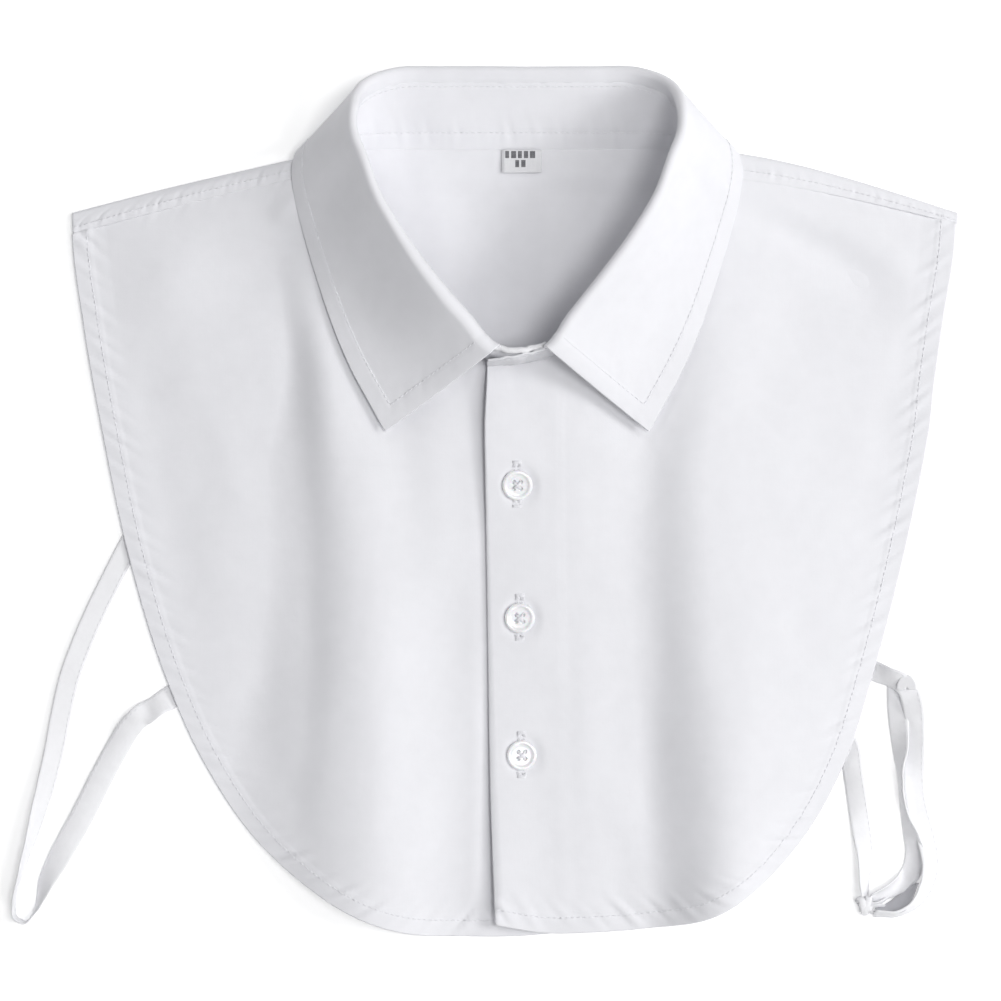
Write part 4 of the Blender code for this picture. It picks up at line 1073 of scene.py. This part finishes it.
def make_back():
    """The back, with soft folds where the neck opening shows it and puckered shoulder strips."""
    turns = np.concatenate((np.linspace(0, 0.62, 16)[:-1], np.linspace(0.62, 1, 15)))
    shares = np.concatenate((denser(0, 0.3, 56, 1.1)[:-1], np.linspace(0.3, 0.985, 104), (0.995, 1.0)))
    middle = back_middle(180, turns, shares)
    normal = surface_normals(middle)
    x = middle[:, :, 0]
    y = middle[:, :, 1]
    # Creases where the neck opening shows them
    shown = ramp(y, 50.0, 75.0) * (1 - ramp(np.abs(x), 58.0, 80.0))
    height = crease_height(x, y, BACK_CREASES) * shown
    # Puckers, a turned edge and a drawn-in stitch line on the shoulder strips
    down = length_along(middle, 0)
    right_in = length_along(middle, 1)
    left_in = right_in[:, -1:] - right_in
    seam = np.minimum(right_in, left_in)
    strip = np.zeros(middle.shape[1], bool)
    strip[:STRIP_COLUMNS] = True
    strip[-STRIP_COLUMNS:] = True
    inside_strip = strip[None, :] & (seam < 12)
    line = np.where(right_in < left_in, seam[:, [RIGHT_STITCH]], seam[:, [LEFT_STITCH]])
    gathers = pucker("shoulder", down, seam - line, 7.0) + pucker("shoulder_fine", down, seam - line, 3.0)
    gathers += 0.25 * (1 - ramp(seam, 0.6, 1.8)) - 0.12 * bell(seam - line, 0.6)
    height += np.where(inside_strip, gathers, 0.0)
    facing = np.sign(normal[len(shares) // 2, middle.shape[1] // 2, 2])
    middle = middle + facing * normal * height[:, :, None]
    middle[:, :, 2] = np.maximum(middle[:, :, 2], SHOWN / 2 + 0.03)
    piece = cloth_piece("back", middle, SHOWN, "back_panel")
    normal = facing * normal
    for name, column in (("right_shoulder_stitches", RIGHT_STITCH), ("left_shoulder_stitches", LEFT_STITCH)):
        path = middle[:, column] + strip_up(normal[:, column]) * SHOWN / 2
        sewn_thread(name, path[::-1], strip_up(normal[::-1, column]))
    return piece, middle, normal


def make_front(side, name, node, creases, seed):
    """A front, with its turned hem, puckers along hem and shoulder, and the listed creases."""
    tight = np.array((0.0, 0.0006, 0.0015, 0.003, 0.005, 0.0075, 0.0105, 0.014, 0.018))
    u = np.concatenate((tight, np.linspace(0.022, 0.975, 250), np.linspace(0.98, 1.0, 8)))
    rows = np.linspace(0, 1, FRONT_ROWS)**1.15
    band = np.concatenate((np.linspace(13.5, 7.3, 9), np.linspace(6.7, 1.1, 9), (0.6, 0.25, 0.0)))
    rows = np.concatenate((rows, np.ones(len(band))))
    inset = np.concatenate((np.full(FRONT_ROWS, HEM_START), band))
    middle, edge = front_middle(side, u, rows, inset)
    normal = surface_normals(middle)
    facing = np.sign(normal[60, 120, 2])
    normal = normal * facing
    x = middle[:, :, 0]
    y = middle[:, :, 1]
    tip, along, out = shoulder_frame(side)
    from_tip = tip - middle[:, :, :2]
    seam = from_tip @ out - SHOULDER_STRIP[side]
    along_seam = from_tip @ along
    hem = inset[:, None] + (1 - rows[:, None]) * 170
    s_hem = length_along(middle, 1)[-1:]
    centre = side * (x - np.interp(-y, -edge[:, 1], edge[:, 0]))
    neck = length_along(middle, 0)
    calm = ramp(neck, 3.0, 16.0) * (1 - ramp(u[None, :], 0.9, 0.97))

    # The turned hem, its drawn-in stitch line, and puckers along it and along the shoulder seam
    height = 0.3 * (1 - ramp(hem, HEM_WIDTH - 0.5, HEM_WIDTH + 0.9)) - 0.1 * bell(hem - HEM_STITCH, 0.7)
    height = height + pucker("hem", s_hem, hem - HEM_STITCH, seed)
    height += 0.4 * pucker("hem", along_seam, np.maximum(seam, 0) + 4.0, 7.0) * ramp(u[None, :], 0.6, 0.8)
    # Listed creases, the neck seam's gathers, and faint rumples all over
    height += crease_height(x, y, creases) * ramp(hem, 3.0, 26.0) * calm
    height += pucker("neck", length_along(middle, 1), neck, seed + 2) * ramp(u[None, :], 0.9, 0.5)
    rumples = uneven(x * 0.8 + y * 0.15, 27.0, seed) * uneven(y, 95.0, seed + 3)
    height += 0.25 * rumples * calm * ramp(hem, 4.0, 20.0)
    if side < 0:
        # The front that laps under is plain where the other covers it
        height *= 1 - ramp(x, -18.0, -8.0)
    else:
        # The button band is thicker, with a drawn-in stitch line, and its edge curls and puckers
        height += 0.22 * (1 - ramp(centre, PLACKET - 0.8, PLACKET + 0.8)) * ramp(neck, 0.0, 6.0)
        height -= 0.12 * bell(centre - PLACKET + 1.2, 0.8)
        curl = np.interp(-y, [-level for level in CURL_Y], CURL)
        height += curl * (1 - ramp(centre, -4.0, CURL_REACH)) * ramp(neck, 2.0, 16.0)
        height += pucker("leaf", neck, centre, seed + 5) * ramp(neck, 5.0, 20.0)
    # Each button pulls the cloth down round it
    for button_x, button_y in BUTTONS:
        away = np.hypot(x - button_x - 1.1, y - button_y)
        height -= (1.4 if side > 0 else 0.8) * (1 - ramp(away, 4.6, 9.2))
    middle = middle + normal * height[:, :, None]
    return cloth_piece(name, middle, SHOWN, node), middle, normal, inset


def cloth_near(points, x, y, radius):
    """The points of a surface round a place, and the slopes and level of the plane closest to them."""
    near = points[np.hypot(points[:, 0] - x, points[:, 1] - y) < radius]
    flat = np.column_stack((near[:, :2], np.ones(len(near))))
    return near, np.linalg.lstsq(flat, near[:, 2], rcond=None)[0]


def seat_plane(points, x, y, radius):
    """Middle and normal of the plane on which a disc rests on a surface, from the points under it."""
    near, slope = cloth_near(points, x, y, radius)
    normal = unit(np.array([-slope[0], -slope[1], 1.0]))
    middle = np.array([x, y, slope[0] * x + slope[1] * y + slope[2]])
    return middle + normal * np.max((near - middle) @ normal), normal


def turned(points, middle, normal):
    """Points of a thing drawn upright at the origin, stood on a plane."""
    side = unit(np.cross(np.array([0.0, 1.0, 0.0]), normal))
    ahead = np.cross(normal, side)
    return middle + points @ np.array([side, ahead, normal])


def make_button(number, x, y, front_top):
    """A four-hole button: a round profile with a raised rim and a dished middle, whose four holes are deep
    round pits, with two bars of thread across it."""
    middle, normal = seat_plane(front_top, x, y, BUTTON_RADIUS)
    middle = middle - normal * BUTTON_SINK
    rim = 1.5 + 0.46 * np.sin(np.linspace(0.15, 3.0, 16))**0.8
    radius = np.concatenate((np.linspace(0, 3.2, BUTTON_MIDDLE), (3.7, 4.2), np.linspace(4.5, 6.2, 16),
                             (BUTTON_RADIUS, BUTTON_RADIUS, 6.0, 5.0, 0.0)))
    level = 0.88 * np.concatenate((np.full(BUTTON_MIDDLE, 1.45), (1.46, 1.5), rim,
                                   (1.3, 0.9, 0.3, 0.0, 0.0)))
    turn = full_turn(BUTTON_AROUND)
    px = radius[:, None] * np.cos(turn)
    py = radius[:, None] * np.sin(turn)
    pz = np.repeat(level[:, None], BUTTON_AROUND, axis=1)
    for step in range(4):
        angle = math.pi / 4 + step * math.pi / 2
        away = np.hypot(px - HOLE_AWAY * math.cos(angle), py - HOLE_AWAY * math.sin(angle))
        pz[:BUTTON_MIDDLE] -= (0.6 * (1 - ramp(away, 0.6, 0.95)))[:BUTTON_MIDDLE]
    points = turned(np.dstack((px, py, pz)).reshape(-1, 3), middle, normal)
    index = closed(np.arange(points.shape[0]).reshape(px.shape))
    mesh = mesh_of(f"shirt_button_{number}", points, grid_faces(index))
    add_piece(f"shirt_button_{number}", mesh, RESIN, f"button_{number}")

    bars = []
    t = np.linspace(-1, 1, 11)
    for lean in (math.pi / 4, 3 * math.pi / 4):
        over_other = 0.3 if lean < 1 else 0.0
        for slip in (-0.34, 0.0, 0.34):
            aside = slip * (0.7 + 0.3 * t * t)
            high = 1.42 + (0.25 + over_other) * (1 - t * t) - 3.0 * np.maximum(np.abs(t) - 0.82, 0)
            bars.append(np.column_stack((2.15 * t * math.cos(lean) - aside * math.sin(lean),
                                         2.15 * t * math.sin(lean) + aside * math.cos(lean), high)))
    tubes = [tube(turned(bar, middle, normal), 0.2) for bar in bars]
    add_piece(f"button_thread_{number}", joined(f"button_thread_{number}", tubes), THREAD)


def tube(path, radius):
    """Points and faces of a thin round tube along a path."""
    ahead = unit(np.gradient(path, axis=0))
    side = unit(np.cross(ahead, np.array([0.03, 0.02, 1.0])))
    up = np.cross(side, ahead)
    turn = full_turn(THREAD_ROUND)
    ring_points = path[:, None, :] + radius * (np.cos(turn)[:, None] * side[:, None, :]
                                               + np.sin(turn)[:, None] * up[:, None, :])
    index = closed(np.arange(len(path) * THREAD_ROUND).reshape(len(path), THREAD_ROUND))
    ends = [index[0, cap] for cap in FIRST_CAP] + [index[-1, cap] for cap in LAST_CAP]
    return ring_points.reshape(-1, 3), np.vstack((grid_faces(index), ends))


def joined(name, parts):
    """One mesh from several sets of points and faces."""
    points = np.vstack([p for p, _ in parts])
    start = np.cumsum([0] + [len(p) for p, _ in parts[:-1]])
    return mesh_of(name, points, np.vstack([f + s for (_, f), s in zip(parts, start)]))


def make_buttonhole(number, x, y, front_top):
    """A worked buttonhole: two columns of close stitches beside a slit, and a bar at each end."""
    near, slope = cloth_near(front_top, x, y, BUTTONHOLE)
    half = BUTTONHOLE / 2

    def on_cloth(px, py, rise):
        """Places in the plan put on the cloth: the nearest point of it, carried on along its slope."""
        close = np.argmin((near[:, None, 0] - px)**2 + (near[:, None, 1] - py)**2, axis=0)
        here = near[close]
        level = here[:, 2] + slope[0] * (px - here[:, 0]) + slope[1] * (py - here[:, 1])
        return np.column_stack((px, py, level + rise))

    parts = []
    steps = np.arange(-half, half, STITCH_STEP)
    arch = np.array((-0.12, 0.12, 0.18, 0.12, -0.12))
    for side in (-1, 1):
        for k, along in enumerate(steps):
            px = x + side * np.linspace(0.35, 1.85 + 0.12 * math.sin(7.0 * k), 5)
            parts.append(tube(on_cloth(px, np.full(5, y + along), arch), 0.17))
    for end in (-1, 1):
        for k in range(4):
            px = x + np.linspace(-2.0, 2.0, 5)
            parts.append(tube(on_cloth(px, np.full(5, y + end * (half + 0.3 * k)), arch), 0.18))
    add_piece(f"buttonhole_{number}", joined(f"buttonhole_{number}", parts), THREAD)


# The size tab: its side edges, its length, and the points across and down it
TAB_LEFT = -5.5
TAB_RIGHT = 10.9
TAB_LENGTH = 9.4
TAB_ACROSS = 42
TAB_DOWN = 26


def make_label(back_top):
    """The size tab: folded ribbon that hangs from the neck seam, its left edge and lower end turned down. It
    bows down its length and across it as parabolas, with a faint sine across."""
    xs = np.linspace(TAB_LEFT, TAB_RIGHT, TAB_ACROSS)
    ys = NECK_Y + HALF_COLLAR[0][1] - 0.6 - np.linspace(0, TAB_LENGTH, TAB_DOWN)
    near = back_top[(np.abs(back_top[:, 0] - 2.7) < 9) & (back_top[:, 1] > 136) & (back_top[:, 1] < 147)]
    floor = np.max(near[:, 2])
    px, py = np.meshgrid(xs, ys)
    down = np.linspace(0, 1, TAB_DOWN)[:, None]
    across = np.linspace(-1, 1, TAB_ACROSS)[None, :]
    pz = floor + 0.75 + 0.5 * down**2 + 0.25 * across**2 * down + 0.12 * np.sin(across * 4)
    pz = pz - 0.7 * (1 - ramp(across, -1.0, -0.84)) - 0.35 * ramp(down, 0.93, 1.0)
    middle = np.dstack((px, py, pz))
    uv = np.dstack((px - TAB_LEFT, ys[0] - py))
    cloth_piece("size_tab", middle, 0.6, "size_label", uv, LABEL)


def make_tape(name, rows, node, seed):
    """A flat tape folded in two and stitched: straight lines across it, turned about its middle line by
    each row's angle and bowed as a parabola, with faint waves along it."""
    rows = np.array(rows, float)
    tilt = np.abs(np.sin(np.radians(rows[:, 3])))
    rows[:, 2] += TAPE_WIDTH / 2 * tilt + TAPE / 2 * np.sqrt(1 - tilt**2)
    length = np.sum(np.linalg.norm(np.diff(rows[:, :3], axis=0), axis=1))
    line = curve(rows, np.linspace(0, 1, int(length / TAPE_STEP)))
    path = line[:, :3]
    turn = np.radians(line[:, 3])[:, None]
    along = unit(np.gradient(path, axis=0))
    flat = unit(np.cross(np.array([0.0, 0.0, 1.0]), along))
    across = flat * np.cos(turn) + np.cross(along, flat) * np.sin(turn)
    share = np.linspace(-1, 1, TAPE_ACROSS)
    s = np.linspace(0, length, len(path))[:, None]
    wide = 1 + LEFT_WIDER * (name == "left_tape") * ramp(s / length, 0.58, 0.66)
    middle = path[:, None, :] + across[:, None, :] * (wide * share)[:, :, None] * (TAPE_WIDTH / 2 - 0.15)
    normal = surface_normals(middle)
    normal = normal * np.where(np.median(normal[:, TAPE_ACROSS // 2, 2]) < 0, -1.0, 1.0)
    wave = 0.16 * uneven(s + 2 * share, 19.0, seed) + 0.1 * uneven(s, 7.0, seed + 2) * share**2
    bow, start, stop = TAPE_BOWS[name]
    shown = ramp(s / length, start, start + 0.08) * (1 - ramp(s / length, stop, stop + 0.06))
    wave = wave + bow * shown * (1 - share**2)
    middle = middle + normal * wave[:, :, None]
    middle[:, :, 2] = np.maximum(middle[:, :, 2], TAPE / 2 + 0.05)
    uv = np.dstack(np.broadcast_arrays(s, share * TAPE_WIDTH / 2))
    piece = cloth_piece(name, middle, TAPE - 0.1, node, uv, TAPE_CLOTH)
    up = normal[:, TAPE_STITCH]
    line = middle[:, TAPE_STITCH] + up * (TAPE / 2 - 0.12)
    sewn_thread(f"{name}_stitches", line, up, pitch=2.6, radius=0.12)
    return piece, path, length


def band(points, width, thick, across):
    """Points and faces of a flat closed band carried along a path, its cross-section a flattened ring."""
    turn = full_turn(BAND_ROUND)
    ahead = unit(np.gradient(points, axis=0))
    wide = unit(across - np.sum(across * ahead, axis=1, keepdims=True) * ahead)
    up = np.cross(ahead, wide)
    rings = (points[:, None, :] + wide[:, None, :] * (np.cos(turn) * width / 2)[None, :, None]
             + up[:, None, :] * (np.sin(turn) * thick / 2)[None, :, None])
    index = closed(np.arange(len(points) * BAND_ROUND).reshape(len(points), BAND_ROUND))
    ends = []
    for ring_index, order in ((index[0], 1), (index[-1], -1)):
        for k in range(1, BAND_ROUND - 2, 2):
            ends.append(ring_index[[0, k, k + 1, k + 2]][::order])
    return rings.reshape(-1, 3), np.vstack((grid_faces(index), ends))


def make_knot():
    """The knot: slanted bands wound round a lump, each a flattened ring carried along a tilted ellipse, and
    the narrow ends that fan out of it, each carried along a bowed line."""
    middle = np.array(KNOT)
    parts = []
    t = np.linspace(0, 2 * np.pi, 56)
    for size, lean_angle, shift, tip in KNOT_TURNS:
        loop = np.column_stack((3.9 * np.cos(t), 2.6 * np.sin(t))) * size
        loop = np.column_stack((shift + 0.5 * np.sin(2 * t), loop))
        spin = np.array([[math.cos(lean_angle), -math.sin(lean_angle), 0],
                         [math.sin(lean_angle), math.cos(lean_angle), 0], [0, tip * 0.4, 1]])
        across = np.tile(spin @ np.array([1.0, 0.0, 0.0]), (56, 1))
        parts.append(band(middle + loop @ spin.T, 2.9, 1.0, across))
    lump = np.column_stack((np.linspace(-2.3, 2.3, 16), np.zeros(16), np.zeros(16)))
    parts.append(band(middle + lump, 6.0, 4.2, np.tile((0.0, 1.0, 0.0), (16, 1))))
    t = np.linspace(0, 1, 26)
    for start, stop, width, sag in KNOT_ENDS:
        line = np.array(start) + (np.array(stop) - np.array(start)) * t[:, None]
        line[:, 1] += sag * np.sin(np.pi * t)
        line[:, 2] += 0.7 * np.sin(np.pi * t)
        parts.append(band(middle + line, width, 1.0, np.tile((0.1, 0.7, 0.7), (26, 1))))
    return add_piece("tape_knot_tied", joined("tape_knot_tied", parts), TAPE_PLAIN, "tape_knot")


def make_loop_painted_shade():
    """Painted shade for the loop's inside: darker cloth between two curved edges, hollowed as a parabola."""
    line = curve(np.array(LOOP_INSIDE), np.linspace(0, 1, 30))
    share = np.linspace(0, 1, 7)[None, :, None]
    middle = line[:, None, :3] * (1 - share) + line[:, None, 3:] * share
    middle[:, :, 2] -= 2.4 * (share * (1 - share))[:, :, 0]
    middle[:, :, 2] = np.maximum(middle[:, :, 2], 0.5)
    return cloth_piece("right_loop_painted_shade", middle, 0.5, material=TAPE_PAINTED_SHADE)


def make_tuck():
    """The tuck where the tape turns down at the loop's top: half a disc that leans away from the light."""
    radius = np.linspace(0.15, 1.0, 8)[:, None]
    turn = np.linspace(0.0, np.pi, 24)[None, :]
    px = TUCK[0] + 3.9 * radius * np.cos(turn)
    py = TUCK[1] + 6.0 * radius * np.sin(turn)
    pz = TUCK[2] + 0.26 * (px - TUCK[0]) - 0.14 * (py - TUCK[1])
    return cloth_piece("right_tape_tuck", np.dstack((px, py, pz)), 0.5, material=TAPE_CLOTH)


# Camera straight above: its height and place, and the width of the photo at the table
SENSOR = 36.0
CAMERA_HIGH = 1400.0
CAMERA_PLACE = (-0.00609, 0.00042, CAMERA_HIGH * MM)
PHOTO_WIDE = 420.42

# Soft round lights, in metres: their size and distance, and for each the direction it shines from, its
# height over the table in degrees, and its watts
LIGHT_SIZE = 0.75
LIGHT_AWAY = 2.4
LIGHTS = (
    ("overhead", 0.0, 75.0, 19.9),
    ("key", 0.0, 33.0, 18.8),
    ("upper_right", 25.0, 45.0, 8.8),
    ("lower_right", -60.0, 40.0, 11.0),
    ("upper_fill", 110.0, 40.0, 4.0),
    ("left_fill", 180.0, 40.0, 4.0),
)


def make_light_and_camera():
    """White table, soft light from the upper right and all round, and the camera straight above."""
    table = bpy.data.meshes.new("table")
    corners = [(-4.0, -4.0, 0.0), (4.0, -4.0, 0.0), (4.0, 4.0, 0.0), (-4.0, 4.0, 0.0)]
    table.from_pydata(corners, [], [(0, 1, 2, 3)])
    paint = new_material("table_white", {
        "Base Color": (0.94, 0.94, 0.94, 1.0), "Roughness": 0.9, "Specular IOR Level": 0.0,
        "Emission Color": (1.0, 1.0, 1.0, 1.0), "Emission Strength": 0.3})
    table.materials.append(paint[0])
    floor = bpy.data.objects.new("table", table)
    bpy.context.scene.collection.objects.link(floor)

    for name, azimuth, elevation, watts in LIGHTS:
        low = math.radians(elevation)
        turn = math.radians(azimuth)
        light = bpy.data.lights.new(name, "AREA")
        light.shape = "DISK"
        light.size = LIGHT_SIZE
        light.energy = watts
        item = bpy.data.objects.new(name, light)
        flat = LIGHT_AWAY * math.cos(low)
        item.location = (flat * math.cos(turn), flat * math.sin(turn), LIGHT_AWAY * math.sin(low))
        item.rotation_euler = (math.pi / 2 - low, 0, turn + math.pi / 2)
        bpy.context.scene.collection.objects.link(item)

    world = bpy.data.worlds.new("studio")
    world.use_nodes = True
    sky = world.node_tree.nodes["Background"]
    sky.inputs["Color"].default_value = (0.97, 0.98, 1.0, 1.0)
    sky.inputs["Strength"].default_value = 0.16
    bpy.context.scene.world = world
    bpy.context.scene.view_settings.view_transform = "Standard"

    camera = bpy.data.cameras.new("camera")
    camera.sensor_width = SENSOR
    camera.lens = SENSOR * CAMERA_HIGH / PHOTO_WIDE
    camera.clip_start = 0.1
    camera.clip_end = 20.0
    view = bpy.data.objects.new("camera", camera)
    view.location = CAMERA_PLACE
    bpy.context.scene.collection.objects.link(view)
    bpy.context.scene.camera = view


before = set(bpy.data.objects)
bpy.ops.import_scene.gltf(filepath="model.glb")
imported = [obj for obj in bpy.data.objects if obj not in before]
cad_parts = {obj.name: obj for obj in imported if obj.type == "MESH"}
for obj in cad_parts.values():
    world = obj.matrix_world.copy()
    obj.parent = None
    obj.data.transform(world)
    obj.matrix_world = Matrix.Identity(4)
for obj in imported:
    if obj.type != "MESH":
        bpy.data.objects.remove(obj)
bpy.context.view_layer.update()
make_light_and_camera()
WEAVE = plain_weave_group()
RUMPLE = rumple_group()
COTTON = cotton("white_cotton_look", (0.80, 0.80, 0.83))
TAPE_CLOTH = cotton("tape_look", (0.86, 0.86, 0.88), threads=2800.0, rumple=2.0)
# Darker grey cloth whose colour is painted shade, for the inside of the right loop
TAPE_PAINTED_SHADE = cotton("tape_painted_shade_look", (0.50, 0.50, 0.53), threads=2800.0, rumple=2.0)
TAPE_PLAIN = thread_paint("knot_look", (0.82, 0.82, 0.84))
THREAD = thread_paint("thread_look", (0.80, 0.80, 0.83))
LABEL = label_paint()
RESIN = button_paint()

# Side tapes
tied = make_knot()
loop_painted_shade = make_loop_painted_shade()
tuck = make_tuck()
for name, rows, node, far_end, seed in (
        ("left_tape", LEFT_TAPE, "tape_left", "object", 1.0),
        ("right_front_tape", RIGHT_FRONT_TAPE, "tape_right_front", "knot", 2.0),
        ("right_inner_tape", RIGHT_INNER_TAPE, "tape_right_inner", "knot", 3.0),
        ("right_back_tape", RIGHT_BACK_TAPE, "tape_right_back", "knot", 4.0)):
    tape_piece, path, length = make_tape(name, rows, node, seed)
    extra = [bpy.data.objects[f"{name}_stitches"]]
    if name == "right_front_tape":
        extra += [tied, loop_painted_shade, tuck]

stand = make_stand()
leaf = make_leaf()
back, back_points, back_up = make_back()
under, under_points, under_up, under_inset = make_front(-1, "under_front", "front_under", UNDER_CREASES, 1.0)
over, over_points, over_up, over_inset = make_front(1, "over_front", "front_over", OVER_CREASES, 5.0)
over_top = (over_points + over_up * SHOWN / 2).reshape(-1, 3)

for number, (x, y) in enumerate(BUTTONS, start=1):
    make_button(number, x, y, over_top)
    make_buttonhole(number, x, y + 0.3, over_top)
make_label((back_points + back_up * SHOWN / 2).reshape(-1, 3))

# Stitch lines
for name, points, up, inset in (("under_hem_stitches", under_points, under_up, under_inset),
                                ("over_hem_stitches", over_points, over_up, over_inset)):
    row = int(np.argmin(np.abs(inset - HEM_STITCH)))
    sewn_thread(name, points[row] + up[row] * SHOWN / 2, up[row])
